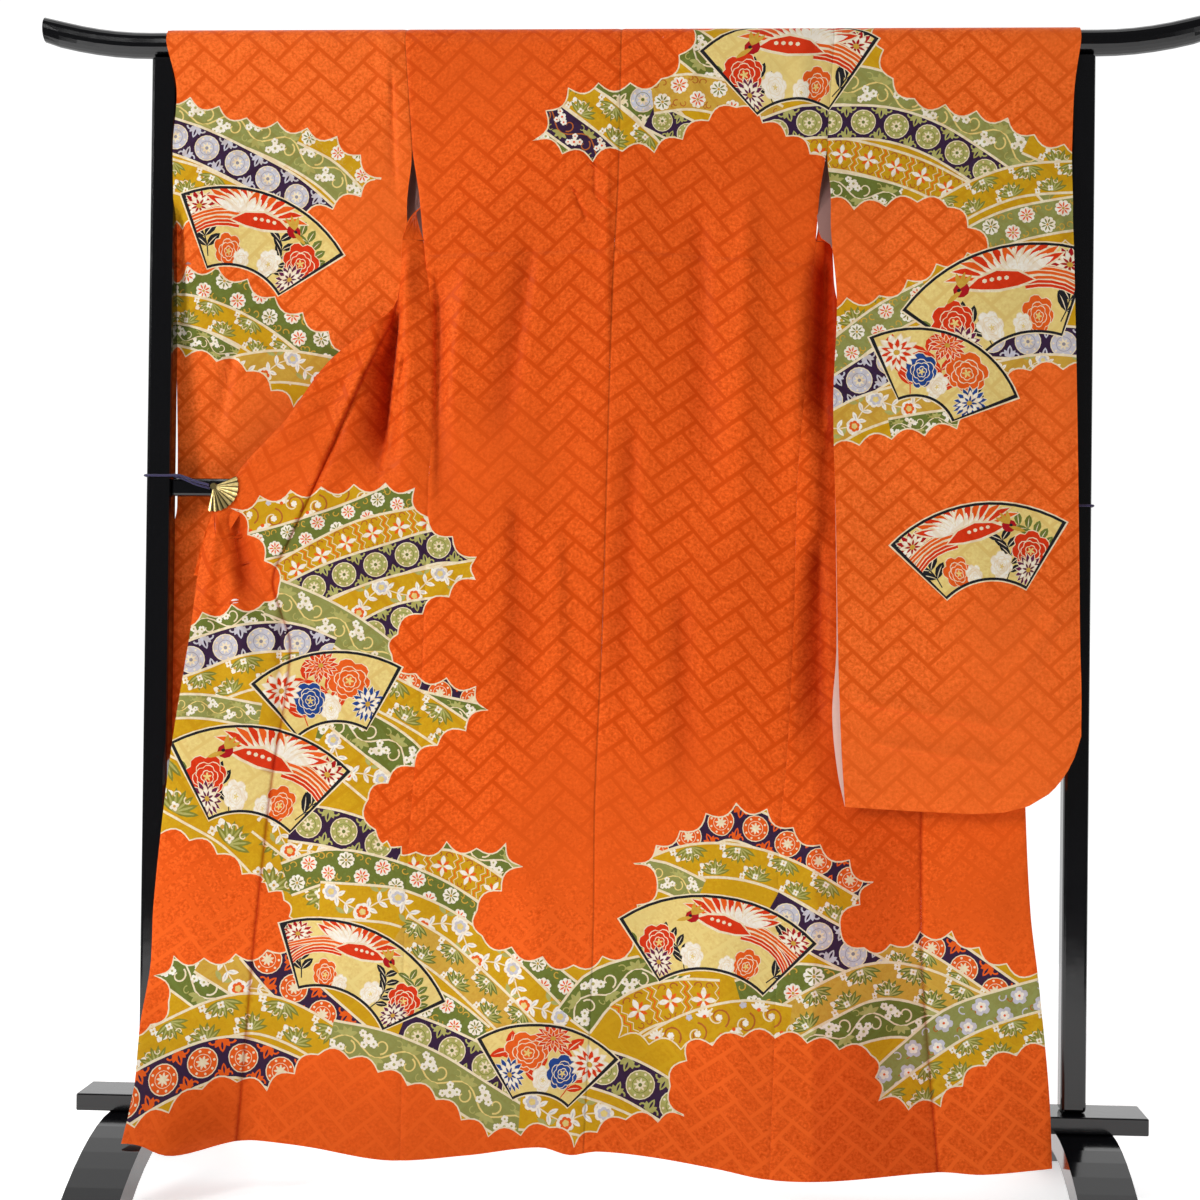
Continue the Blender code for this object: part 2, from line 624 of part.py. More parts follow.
def make_collar_neck(finish):
    """The collar's middle, from the back of the neck over the bar to its far side."""
    left = NECK_EDGE_LEFT[0][1] + SEAM_GAP / 2
    right = NECK_EDGE_RIGHT[0][1] - SEAM_GAP / 2
    columns = even(8)

    def edge(level):
        depth = seam_point(NECK_EDGE_LEFT, level)[1]
        return (left, depth), (right, depth)

    rows = bar_rows(left, right, columns, 1)
    rows += hanging_rows((1.671, COLLAR_NECK_FOOT), columns, edge, ())
    return cloth("collar_neck", rows, finish)


def make_collar_leg(name, neck_edge, finish, left_side):
    """The collar beside a front's neck edge, down to where it gathers under the sleeve."""
    inward = 1.0 if left_side else -1.0

    def edge(level):
        seam_x, depth = seam_point(neck_edge, level)
        width = COLLAR_LEG_WIDTH * (1.0 + COLLAR_LEG_SLANT * ease((1.65 - level) / 0.06))
        start = seam_x + inward * SEAM_GAP / 2
        return (start, depth), (start + inward * width, depth)

    levels = (COLLAR_NECK_FOOT - 2 * SEAM_GAP,) + SHOULDER_LEVELS[2:]
    return cloth(name, hanging_rows(levels, even(3), edge, ()), finish)


def make_collar_tail(name, front_edge, finish, left_side):
    """The collar's end, folded back behind the gore's edge down to the notch."""
    inward = 1.0 if left_side else -1.0

    def edge(level):
        edge_x, depth = seam_point(front_edge, level)
        past = smooth_value(COLLAR_TAIL, level, 1)
        width = smooth_value(COLLAR_TAIL, level, 2)
        depth += LINING_BEHIND_EDGE
        return (edge_x - inward * past, depth), (edge_x + inward * width, depth)

    rows = hanging_rows(COLLAR_TAIL_LEVELS, even(3), edge, BODY_FOLDS)
    return cloth(name, rows, finish)


def make_bar(finish):
    """The top bar: round, straight over the posts, its ends turned up."""
    half = BAR_LENGTH / 2
    stations = [-half + (half - BAR_STRAIGHT_HALF) * step / 6 for step in range(7)]
    stations += [-station for station in reversed(stations)]
    sides = 20
    shape = bmesh.new()
    rings = []
    for station in stations:
        share = max(abs(station) - BAR_STRAIGHT_HALF, 0.0) / (half - BAR_STRAIGHT_HALF)
        rise = BAR_TIP_RISE * share**2
        slope = math.copysign(2 * BAR_TIP_RISE * share / (half - BAR_STRAIGHT_HALF), station)
        tilt = math.atan(slope)
        ring = []
        for side in range(sides):
            turn = 2 * math.pi * side / sides
            up = BAR_RADIUS * math.cos(turn)
            ring.append(shape.verts.new((station - up * math.sin(tilt) * (abs(station) < half - 1e-6),
                                         BAR_RADIUS * math.sin(turn),
                                         BAR_CENTRE_HEIGHT + rise + up * math.cos(tilt))))
        rings.append(ring)
    for first, second in zip(rings, rings[1:]):
        bmesh.ops.bridge_loops(shape, edges=[
            shape.edges.get((ring[index], ring[(index + 1) % sides])) or
            shape.edges.new((ring[index], ring[(index + 1) % sides]))
            for ring in (first, second) for index in range(sides)])
    shape.faces.new(rings[0])
    shape.faces.new(rings[-1])
    return place("top_bar", finished_mesh("top_bar", shape), finish)


def make_box(name, size, centre, bevel, finish):
    """A straight rail with softened edges."""
    shape = bmesh.new()
    bmesh.ops.create_cube(shape, size=1.0)
    bmesh.ops.scale(shape, vec=Vector(size), verts=shape.verts)
    bmesh.ops.bevel(shape, geom=shape.edges[:], offset=bevel, segments=2, profile=0.5,
                    affect='EDGES')
    bmesh.ops.translate(shape, vec=Vector(centre), verts=shape.verts)
    return place(name, finished_mesh(name, shape), finish)


def foot_top(depth):
    """Height of a foot's upper side at a depth from the middle."""
    share = max(abs(depth) - FOOT_SEAT_HALF, 0.0) / (FOOT_HALF_DEPTH - FOOT_SEAT_HALF)
    return FOOT_TOE_HEIGHT + (FOOT_SEAT_HEIGHT - FOOT_TOE_HEIGHT) * (1.0 - share**1.9)


def foot_arch(depth):
    """Height of a foot's underside at a depth from the middle."""
    share = min(abs(depth) / FOOT_ARCH_HALF, 1.0)
    return FOOT_ARCH_HEIGHT * (1.0 - share**2.2)


def make_foot(name, across, finish):
    """An arched foot, bent from front to back, that stands on its two toes."""
    steps = 18
    depths = [FOOT_HALF_DEPTH * (2 * step / steps - 1) for step in range(steps + 1)]
    arches = [FOOT_ARCH_HALF * (1 - 2 * step / (steps - 4)) for step in range(steps - 3)]
    outline = [(depth, foot_top(depth)) for depth in depths]
    outline += [(FOOT_HALF_DEPTH, 0.0)]
    outline += [(depth, foot_arch(depth)) for depth in arches]
    outline += [(-FOOT_HALF_DEPTH, 0.0)]
    shape = bmesh.new()
    ring = [shape.verts.new((across - FOOT_WIDTH / 2, depth, height)) for depth, height in outline]
    side = shape.faces.new(ring)
    pushed = bmesh.ops.extrude_face_region(shape, geom=[side])
    moved = [item for item in pushed["geom"] if isinstance(item, bmesh.types.BMVert)]
    bmesh.ops.translate(shape, vec=Vector((FOOT_WIDTH, 0.0, 0.0)), verts=moved)
    bmesh.ops.triangulate(shape, faces=shape.faces)
    return place(name, finished_mesh(name, shape), finish, 25.0)


def fan_solid(name, pivot, radius, near, thickness, rise, mirror, finish):
    """A ribbed fan-shaped plate from its pivot, facing the viewer."""
    shape = bmesh.new()
    count = 2 * CLIP_RIB_COUNT
    hub_near = shape.verts.new((pivot[0], near, pivot[1]))
    hub_far = shape.verts.new((pivot[0], near + thickness, pivot[1]))
    nears, fars = [], []
    for step in range(count + 1):
        turn = math.radians(CLIP_FAN_FROM + (CLIP_FAN_TO - CLIP_FAN_FROM) * step / count)
        reach = radius * (1.0 if step % 2 else 0.965)
        across = pivot[0] + mirror * reach * math.cos(turn)
        height = pivot[1] + reach * math.sin(turn)
        nears.append(shape.verts.new((across, near - (rise if step % 2 else 0.0), height)))
        fars.append(shape.verts.new((across, near + thickness, height)))
    for step in range(count):
        shape.faces.new((hub_near, nears[step], nears[step + 1]))
        shape.faces.new((hub_far, fars[step + 1], fars[step]))
        shape.faces.new((nears[step], fars[step], fars[step + 1], nears[step + 1]))
    shape.faces.new((hub_near, hub_far, fars[0], nears[0]))
    shape.faces.new((hub_near, nears[-1], fars[-1], hub_far))
    return place(name, finished_mesh(name, shape), finish)


def join_solid(base, addition):
    """Fuse one solid into another and take the spare one away."""
    union = base.modifiers.new("joined", 'BOOLEAN')
    union.operation = 'UNION'
    union.solver = 'EXACT'
    union.object = addition
    evaluated = base.evaluated_get(bpy.context.evaluated_depsgraph_get())
    joined = bpy.data.meshes.new_from_object(evaluated)
    base.modifiers.clear()
    base.data = joined
    bpy.data.objects.remove(addition)


def make_clip(name, mirror, height, edge_depth, finish):
    """A spring clip shaped as a folding fan: fan in front, jaw behind, pivot past the cloth."""
    pivot = (-mirror * CLIP_ACROSS, height)
    cloth_half = CLOTH_THICKNESS / 2
    front_back_face = edge_depth - cloth_half - CLIP_GRIP_GAP
    jaw_front_face = edge_depth + LINING_BEHIND_EDGE + cloth_half + CLIP_GRIP_GAP
    near = front_back_face - CLIP_PLATE
    fan = fan_solid(name, pivot, CLIP_FAN_RADIUS, near, CLIP_PLATE, CLIP_RIB_RISE, mirror, finish)
    jaw = fan_solid(name + "_jaw", pivot, CLIP_JAW_RADIUS, jaw_front_face, CLIP_PLATE, 0.0, mirror,
                    finish)
    length = jaw_front_face + CLIP_PLATE - near + 0.0008
    shape = bmesh.new()
    bmesh.ops.create_cone(shape, cap_ends=True, segments=16, radius1=CLIP_PIVOT_RADIUS,
                          radius2=CLIP_PIVOT_RADIUS, depth=length)
    bmesh.ops.rotate(shape, verts=shape.verts, matrix=Vector((0, 0, 1)).rotation_difference(
        Vector((0, 1, 0))).to_matrix())
    bmesh.ops.translate(shape, vec=(pivot[0], near - 0.0004 + length / 2, pivot[1]),
                        verts=shape.verts)
    pivot_pin = place(name + "_pin", finished_mesh(name + "_pin", shape), finish)
    join_solid(fan, pivot_pin)
    join_solid(fan, jaw)
    return fan


def make_tie(name, mirror, post_height, clip_height, edge_depth, finish):
    """The cord that ties a clip to its post: out past the front, round the post and back."""
    half = POST_WIDTH / 2 + TIE_RADIUS + TOUCH_GAP
    corner = 0.004
    post = POST_SPACING / 2
    start = CLIP_ACROSS + CLIP_PIVOT_RADIUS + TIE_RADIUS + 2 * TOUCH_GAP
    route = [
        (start, edge_depth - 0.0010, clip_height + 0.0022),
        (0.610, edge_depth + 0.0030, clip_height * 0.6 + post_height * 0.4 + 0.0012),
        (0.635, -half - 0.0010, post_height),
        (post - half + corner, -half, post_height),
        (post + half - corner, -half, post_height),
        (post + half, -half + corner, post_height),
        (post + half, half - corner, post_height),
        (post + half - corner, half, post_height),
        (post - half + corner, half, post_height),
        (post - half, half - corner, post_height),
        (post - half - 0.0002, 0.0040, post_height),
        (post - half - 0.0022, -0.0080, post_height),
        (0.630, -0.0170, post_height * 0.7 + clip_height * 0.3),
        (0.608, edge_depth + 0.0065, clip_height * 0.7 + post_height * 0.3 - 0.0022),
        (start, edge_depth + 0.0050, clip_height - 0.0022),
    ]
    fine = smooth_route([Vector((-mirror * x, y, z)) for x, y, z in route], 4)
    curve = bpy.data.curves.new(name, 'CURVE')
    curve.dimensions = '3D'
    curve.bevel_depth = TIE_RADIUS
    curve.bevel_resolution = 2
    curve.use_fill_caps = True
    spline = curve.splines.new('POLY')
    spline.points.add(len(fine) - 1)
    for point, place_on_route in zip(spline.points, fine):
        point.co = (*place_on_route, 1.0)
    curve.materials.append(finish)
    tie = bpy.data.objects.new(name, curve)
    bpy.context.collection.objects.link(tie)
    return tie


def smooth_route(points, steps):
    """A smooth line through a route's points."""
    fine = []
    for index in range(len(points) - 1):
        before, low = points[max(index - 1, 0)], points[index]
        high, after = points[index + 1], points[min(index + 2, len(points) - 1)]
        for step in range(steps):
            t = step / steps
            reach = (high - low).length
            slope_low = (high - before).normalized() * reach
            slope_high = (after - low).normalized() * reach
            fine.append((2 * t**3 - 3 * t**2 + 1) * low + (t**3 - 2 * t**2 + t) * slope_low
                        + (3 * t**2 - 2 * t**3) * high + (t**3 - t**2) * slope_high)
    fine.append(points[-1])
    return fine


def build_stand(lacquer):
    """Bar, posts, crossbar, plank and feet."""
    make_bar(lacquer)
    plank_top = PLANK_UNDERSIDE + PLANK_THICKNESS
    post_foot = plank_top + TOUCH_GAP
    post_top = BAR_CENTRE_HEIGHT - BAR_RADIUS - TOUCH_GAP
    post_size = (POST_WIDTH, POST_WIDTH, post_top - post_foot)
    for name, side in (("left", -1), ("right", 1)):
        centre = (side * POST_SPACING / 2, 0.0, (post_top + post_foot) / 2)
        make_box(f"post_{name}", post_size, centre, 0.005, lacquer)
        make_foot(f"foot_{name}", side * FOOT_CENTRE, lacquer)
    clear = POST_SPACING - POST_WIDTH - 2 * TOUCH_GAP
    make_box("crossbar", (clear, CROSSBAR_WIDTH, CROSSBAR_WIDTH), (0.0, 0.0, CROSSBAR_HEIGHT),
             0.004, lacquer)
    make_box("base_plank", (PLANK_LENGTH, PLANK_DEPTH, PLANK_THICKNESS),
             (0.0, 0.0, PLANK_UNDERSIDE + PLANK_THICKNESS / 2), 0.002, lacquer)


def build_garment(silk):
    """All the cut and sewn pieces."""
    left_seams = (SLEEVE_SEAM_LEFT, UNDERARM_LEFT, SIDE_SEAM_LEFT)
    right_seams = (SLEEVE_SEAM_RIGHT, UNDERARM_RIGHT, SIDE_SEAM_RIGHT)
    make_back("back_left", left_seams, silk, True)
    make_back("back_right", right_seams, silk, False)
    make_front("front_left", NECK_EDGE_LEFT, left_seams, GATHER_LEFT, OKUMI_SEAM_LEFT,
               FRONT_EDGE_LEFT, silk, True)
    make_front("front_right", NECK_EDGE_RIGHT, right_seams, GATHER_RIGHT, OKUMI_SEAM_RIGHT,
               FRONT_EDGE_RIGHT, silk, False)
    make_okumi("okumi_left", OKUMI_SEAM_LEFT, FRONT_EDGE_LEFT, silk, True)
    make_okumi("okumi_right", OKUMI_SEAM_RIGHT, FRONT_EDGE_RIGHT, silk, False)
    for side, near_table, far_table in (("left", SLEEVE_LEFT_NEAR, SLEEVE_LEFT_FAR),
                                        ("right", SLEEVE_RIGHT_NEAR, SLEEVE_RIGHT_FAR)):
        make_sleeve_wall(f"sleeve_{side}_near", near_table, far_table, False, silk)
        make_sleeve_wall(f"sleeve_{side}_far", near_table, far_table, True, silk)
    make_collar_neck(silk)
    make_collar_leg("collar_left_upper", NECK_EDGE_LEFT, silk, True)
    make_collar_leg("collar_right_upper", NECK_EDGE_RIGHT, silk, False)
    make_collar_tail("collar_left_tail", FRONT_EDGE_LEFT, silk, True)
    make_collar_tail("collar_right_tail", FRONT_EDGE_RIGHT, silk, False)


def build_tackle(brass, cord):
    """The clips that hold the fronts out and the cords that tie them to the posts."""
    above = CROSSBAR_HEIGHT + CROSSBAR_WIDTH / 2 + TIE_RADIUS + 0.0015
    below = CROSSBAR_HEIGHT - CROSSBAR_WIDTH / 2 - TIE_RADIUS - 0.0015
    left_depth = seam_point(FRONT_EDGE_LEFT, CLIP_HEIGHT_LEFT)[1]
    right_depth = seam_point(FRONT_EDGE_RIGHT, CLIP_HEIGHT_RIGHT)[1]
    make_clip("clip_left", 1.0, CLIP_HEIGHT_LEFT, left_depth, brass)
    make_clip("clip_right", -1.0, CLIP_HEIGHT_RIGHT, right_depth, brass)
    make_tie("tie_left", 1.0, above, CLIP_HEIGHT_LEFT, left_depth, cord)
    make_tie("tie_right", -1.0, below, CLIP_HEIGHT_RIGHT, right_depth, cord)


def main():
    """Clear the scene and build the whole part."""
    for old in list(bpy.data.objects):
        bpy.data.objects.remove(old)
    lacquer = material("black lacquer", (0.006, 0.006, 0.008), 0.12)
    silk = material("orange figured silk", (0.80, 0.12, 0.03), 0.45)
    brass = material("gilt brass", (0.62, 0.45, 0.18), 0.30, 1.0)
    cord = material("purple cord", (0.06, 0.02, 0.20), 0.70)
    build_stand(lacquer)
    build_garment(silk)
    build_tackle(brass, cord)


main()
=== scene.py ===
# %% [markdown]
# # A furisode on its lacquered stand
# A furisode is a young woman's kimono with sleeves that nearly reach the ground. Here one hangs
# by its sleeves on a black lacquered stand, its back to the viewer, and its two fronts are drawn
# out below the sleeves and clipped to the posts, so that all six panels of the hem show.
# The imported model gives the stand, the clips, the ties and a plain wall for every piece of silk.
# This script keeps the hard parts, and dresses each wall in a thin figured sheet of its own.

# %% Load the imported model
import math

import bmesh
import bpy
import numpy as np
from mathutils import Matrix, Vector
from mathutils.geometry import delaunay_2d_cdt


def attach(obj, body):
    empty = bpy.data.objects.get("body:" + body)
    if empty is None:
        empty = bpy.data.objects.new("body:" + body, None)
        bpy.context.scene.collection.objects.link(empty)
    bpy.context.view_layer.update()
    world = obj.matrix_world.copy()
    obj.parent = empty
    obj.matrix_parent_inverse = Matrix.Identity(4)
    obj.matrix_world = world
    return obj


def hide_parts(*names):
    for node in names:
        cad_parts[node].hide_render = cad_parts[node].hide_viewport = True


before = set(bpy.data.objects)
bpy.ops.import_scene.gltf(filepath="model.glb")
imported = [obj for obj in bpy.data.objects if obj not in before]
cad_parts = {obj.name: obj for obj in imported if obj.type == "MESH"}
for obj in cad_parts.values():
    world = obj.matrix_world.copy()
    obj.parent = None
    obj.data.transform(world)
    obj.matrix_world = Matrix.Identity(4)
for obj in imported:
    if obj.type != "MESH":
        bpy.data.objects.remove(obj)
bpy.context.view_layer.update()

# %% [markdown]
# ## Camera
# The camera was found from the stand: both posts, the bar, the plank and the slope of the feet
# fix where the lens stood. It looks a little to the left and is turned by less than a degree.
# With it, a pixel of the photo can be turned into the place on the cloth that it shows.

# %% Camera
EYE = (0.153, -3.1116, 0.8299)
LOOKS_LEFT = 0.055
LOOKS_UP = 0.0097
ROLLED = 0.0117
FOCAL_LENGTH = 64.2
SENSOR = 36.0
PHOTO_SIZE = 1200


def tilted(first, second, angle):
    """Turn two axes in their own plane."""
    return (first * math.cos(angle) + second * math.sin(angle),
            second * math.cos(angle) - first * math.sin(angle))


def camera_axes():
    """The camera's right, its top and the way that it looks."""
    right, ahead, above = np.eye(3)
    right, ahead = tilted(right, ahead, LOOKS_LEFT)
    ahead, above = tilted(ahead, above, LOOKS_UP)
    right, above = tilted(right, above, ROLLED)
    return right, above, ahead


def photo_place(column, row, depth):
    """The place across and up that a pixel of the photo shows at a depth."""
    right, above, ahead = camera_axes()
    lens = FOCAL_LENGTH / SENSOR * PHOTO_SIZE
    ray = ahead + right * (column - PHOTO_SIZE / 2) / lens + above * (PHOTO_SIZE / 2 - row) / lens
    found = np.array(EYE) + ray * (depth - EYE[1]) / ray[1]
    return found[0], found[2]


right, above, ahead = camera_axes()
lens_data = bpy.data.cameras.new("camera")
lens_data.sensor_width = SENSOR
lens_data.lens = FOCAL_LENGTH
camera = bpy.data.objects.new("camera", lens_data)
camera.matrix_world = Matrix.Translation(EYE) @ Matrix((right, above, -ahead)).transposed().to_4x4()
bpy.context.collection.objects.link(camera)
bpy.context.scene.camera = camera
print("camera at", EYE)

# %% [markdown]
# ## Finishes
# A finish is a small tree of nodes. One function turns the hex colours that a painter would
# note down into the linear values that Blender reckons with. The class has a short name for
# each kind of node that the finishes share, so that every tree below reads as a short list.

# %% Colours and nodes
def linear(code):
    """Turn an sRGB hex colour into linear red, green and blue."""
    values = [int(code[index:index + 2], 16) / 255.0 for index in (1, 3, 5)]
    return [v / 12.92 if v <= 0.04045 else ((v + 0.055) / 1.055) ** 2.4 for v in values]


def node_in(tree, kind, inputs=None, **settings):
    """Add one node, with its settings, and its sockets set or linked; give its outputs."""
    node = tree.nodes.new("ShaderNode" + kind)
    for name, value in settings.items():
        setattr(node, name, value)
    connect(tree, node, inputs or {})
    return node.outputs


def connect(tree, node, inputs):
    """Link a node's sockets, or set them to a value or to a hex colour."""
    for key, value in inputs.items():
        if isinstance(value, bpy.types.NodeSocket):
            tree.links.new(value, node.inputs[key])
        else:
            node.inputs[key].default_value = (*linear(value), 1.0) if isinstance(value, str) else value


class Finish:
    """A material under way."""

    def __init__(self, name):
        self.material = bpy.data.materials.new(name)
        self.material.use_nodes = True
        self.tree = self.material.node_tree
        self.place = self.node("TexCoord")["Object"]
        self.height = self.node("SeparateXYZ", {0: self.place})["Z"]

    def node(self, kind, inputs=None, **settings):
        """Add one node and give its outputs."""
        return node_in(self.tree, kind, inputs, **settings)

    def shade(self, inputs):
        """Link or set what the surface is made of."""
        connect(self.tree, self.tree.nodes["Principled BSDF"], inputs)

    def sum(self, operation, first, second=0.0):
        """Join two values by arithmetic."""
        return self.node("Math", {0: first, 1: second}, operation=operation)[0]

    def noise(self, scale, detail, **more):
        """Even noise, with this many waves to a metre."""
        return self.node("TexNoise", {"Vector": self.place, "Scale": scale, "Detail": detail, **more})[0]

    def between(self, share, first, second):
        """Run evenly from one value to another, as a share goes from 0 to 1."""
        return self.node("MapRange", {0: share, 3: first, 4: second})[0]

    def eased(self, value, low, high, first, second):
        """Run smoothly from one value to another, between two limits of what is measured."""
        limits = {0: value, 1: low, 2: high, 3: first, 4: second}
        return self.node("MapRange", limits, interpolation_type="SMOOTHSTEP")[0]

    def ramp(self, share, dark, light):
        """Run from a dark colour to a light one."""
        tones = self.node("ValToRGB", {0: share})
        for stop, code in zip(tones[0].node.color_ramp.elements, (dark, light)):
            stop.color = (*linear(code), 1.0)
        return tones[0]

    def choose(self, share, first, second):
        """Mix two colours."""
        return self.node("Mix", {0: share, 6: first, 7: second}, data_type="RGBA")[2]

    def tint(self, share, colour, clamp=True):
        """Mix from white towards a tint, and past it unless it is clamped."""
        sides = {0: share, 4: (1.0, 1.0, 1.0), 5: colour}
        return self.node("Mix", sides, data_type="VECTOR", clamp_factor=clamp)[1]

    def scaled(self, colour, by):
        """Make a colour brighter or darker."""
        return self.node("VectorMath", {0: colour, "Scale": by}, operation="SCALE")[0]

    def times(self, colour, other):
        """Lay one colour over another, as a dye does."""
        return self.node("VectorMath", {0: colour, 1: other}, operation="MULTIPLY")[0]

    def bump(self, strength, distance, rise):
        """Tilt the surface a little, without moving it."""
        return self.node("Bump", {"Strength": strength, "Distance": distance, "Height": rise})[0]


def dress(name, finish):
    """Give a hard part its finish."""
    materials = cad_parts[name].data.materials
    materials.clear()
    materials.append(finish.material)


print("a painter's orange in linear light", [round(v, 3) for v in linear("#F0642C")])

# %% [markdown]
# ## Black lacquer
# The stand is cypress under many coats of urushi lacquer, rubbed and polished. Lacquer is
# nearly black, with an IOR of about 1.55, and its surface is so smooth that lights show as
# crisp lines along the posts. What keeps it from looking like plastic is a faint long
# unevenness from the brush and the rubbing, so a low bump a few centimetres long does that.

# %% Lacquer of the stand
BRUSH_WAVE = 0.045
DUST_SCALE = 420.0
STAND = ("top_bar", "post_left", "post_right", "crossbar", "base_plank", "foot_left", "foot_right")

lacquer = Finish("urushi lacquer polished black")
waves = lacquer.noise(1 / BRUSH_WAVE, 2.0)
lacquer.shade({"Base Color": lacquer.ramp(lacquer.noise(DUST_SCALE, 3.0), "#050507", "#0B0B0E"),
               "Roughness": lacquer.between(waves, 0.07, 0.15),
               "Normal": lacquer.bump(0.10, 0.002, waves), "IOR": 1.55})
for name in STAND:
    dress(name, lacquer)
print("lacquered", len(STAND), "pieces of the stand")

# %% [markdown]
# ## Gilt brass and purple cord
# The clips are pressed brass, gilt and then rubbed, and the gaps between the ribs are painted
# dark as painted shade.
# Brass is a metal, so its colour is in its reflection, and a fine noise gives the worn gilt.
# The ribs fan out from the pivot, so the turn about it says where a point lies on its rib.
# The ties are a thin braided silk cord. Its strands lie a few millimetres apart on the slant,
# which a wave texture shows as light and dark steps.

# %% Gilding and braid
CLIP_ACROSS = 0.582
CLIP_HEIGHT = {"left": 1.019, "right": 1.008}
FAN_START = math.radians(25.0)
FAN_SPREAD = math.radians(128.0)
CLIP_RIBS = 10
RIB_GAP_SHADE = 0.16
BRAID_SCALE = 190.0


def gilt_brass(side):
    """Rubbed gilt brass of one clip's fan, with painted shade in the gaps between its ribs."""
    gilt = Finish("gilt brass rubbed " + side)
    wear = gilt.noise(260.0, 4.0)
    across = gilt.node("SeparateXYZ", {0: gilt.place})["X"]
    outward = gilt.sum("ADD", gilt.sum("MULTIPLY", across, 1.0 if side == "left" else -1.0), CLIP_ACROSS)
    upward = gilt.sum("SUBTRACT", gilt.height, CLIP_HEIGHT[side])
    turn = gilt.sum("SUBTRACT", FAN_START, gilt.sum("ARCTAN2", upward, outward))
    rib = gilt.sum("FRACT", gilt.sum("MULTIPLY", turn, CLIP_RIBS / FAN_SPREAD))
    off = gilt.sum("ABSOLUTE", gilt.sum("SUBTRACT", rib, 0.5))
    # painted shade in the gaps between the ribs
    painted_rib_shade = gilt.eased(off, 0.24, 0.40, 1.0, RIB_GAP_SHADE)
    gilt.shade({"Base Color": gilt.scaled(gilt.ramp(wear, "#A08238", "#F0DDA0"), painted_rib_shade),
                "Roughness": gilt.between(wear, 0.42, 0.22), "Metallic": 1.0})
    return gilt


braid = Finish("braided silk cord purple")
strand = braid.node("TexWave", {"Vector": braid.place, "Scale": BRAID_SCALE, "Distortion": 0.6},
                    wave_type="BANDS", bands_direction="DIAGONAL")[1]
braid.shade({"Base Color": braid.ramp(strand, "#160C33", "#24185E"),
             "Normal": braid.bump(0.5, 0.0006, strand), "Roughness": 0.62, "Sheen Weight": 0.3})
for side in ("left", "right"):
    dress("clip_" + side, gilt_brass(side))
    dress("tie_" + side, braid)
print("clips gilt, ties braided")

# %% [markdown]
# ## Figured silk
# The cloth is rinzu, a silk damask: a warp satin ground with a figure in weft satin, one
# colour, seen only because the two weaves catch the light differently. The figure is a common
# one, a wickerwork of slanted blocks laid herringbone fashion, about 29 mm wide and 58 mm long,
# with a groove of 5 mm between them and small flowers inside.
# The sheets carry a UV map in metres along the weave, so block and groove are worked out from
# it: which cell of the slanted grid a point is in says which way its block runs, and the
# distance to the block's edge says whether it lies in the groove. The painted design comes in
# as a colour on each corner of the mesh, with an alpha of 0 where paint covers the figure.
# Low on the skirt the grooves catch the light and look paler than the blocks, higher up they
# look darker, as the satin turns towards the lamps. This is painted sheen: all the figure's
# light and dark is painted into the base colour, beside a bump and a change of roughness, and
# in some patches the painted sheen of the figure nearly fades. Each map counts from a seam, so
# its first millimetre is the stitched line, painted darker as painted shade. Two more shades
# are painted in, as the photo's deep shadows are stronger than soft lamps give: a mesh
# attribute deepens the red as painted shade where a fold is gathered, and the foot of the
# skirt is painted a little darker as painted shade.

# %% Damask and paint
BLOCK_WIDTH = 0.029
BLOCK_SLANT = math.radians(43.0)
GROOVE_HALF = 0.0027
FLOWER_PITCH = 0.012
WEAVE_SPECK = 0.0058
# the grooves' tint is painted sheen, as the two weaves are one colour
GROOVE_TINT = (0.84, 0.67, 0.46)
# how far the painted shade in folds deepens the red
PAINTED_SHADE_TINT = (0.50, 0.20, 0.16)
UNDER_PAINT = 0.35
FLOWER_STRENGTH = 0.28
SPECK_STRENGTH = 6.0


def damask_figure(silk, uv):
    """How far a point lies into the groove between the slanted blocks, from 0 to 1."""
    across = 1 / (2 * math.cos(BLOCK_SLANT) * BLOCK_WIDTH)
    along = 1 / (2 * math.sin(BLOCK_SLANT) * BLOCK_WIDTH)
    rising, falling = (silk.node("VectorMath", {0: uv, 1: (way * across, along, 0.0)},
                                 operation="DOT_PRODUCT")["Value"] for way in (1, -1))
    step = silk.sum("SUBTRACT", silk.sum("FLOOR", rising), silk.sum("FLOOR", falling))
    kind = silk.sum("FLOORED_MODULO", step, 4.0)
    upright = silk.sum("GREATER_THAN", kind, 1.5)
    rising, falling = silk.sum("FRACT", rising), silk.sum("FRACT", falling)
    flat_run = silk.sum("ADD", rising, kind)
    tall_run = silk.sum("ADD", falling, silk.sum("SUBTRACT", 3.0, kind))
    run = silk.node("Mix", {0: upright, 2: flat_run, 3: tall_run})[0]
    width = silk.node("Mix", {0: upright, 2: falling, 3: rising})[0]
    near_end = silk.sum("MINIMUM", run, silk.sum("SUBTRACT", 2.0, run))
    near_side = silk.sum("MINIMUM", width, silk.sum("SUBTRACT", 1.0, width))
    reach = GROOVE_HALF / BLOCK_WIDTH
    return silk.eased(silk.sum("MINIMUM", near_end, near_side), reach * 0.65, reach * 1.35, 1.0, 0.0)


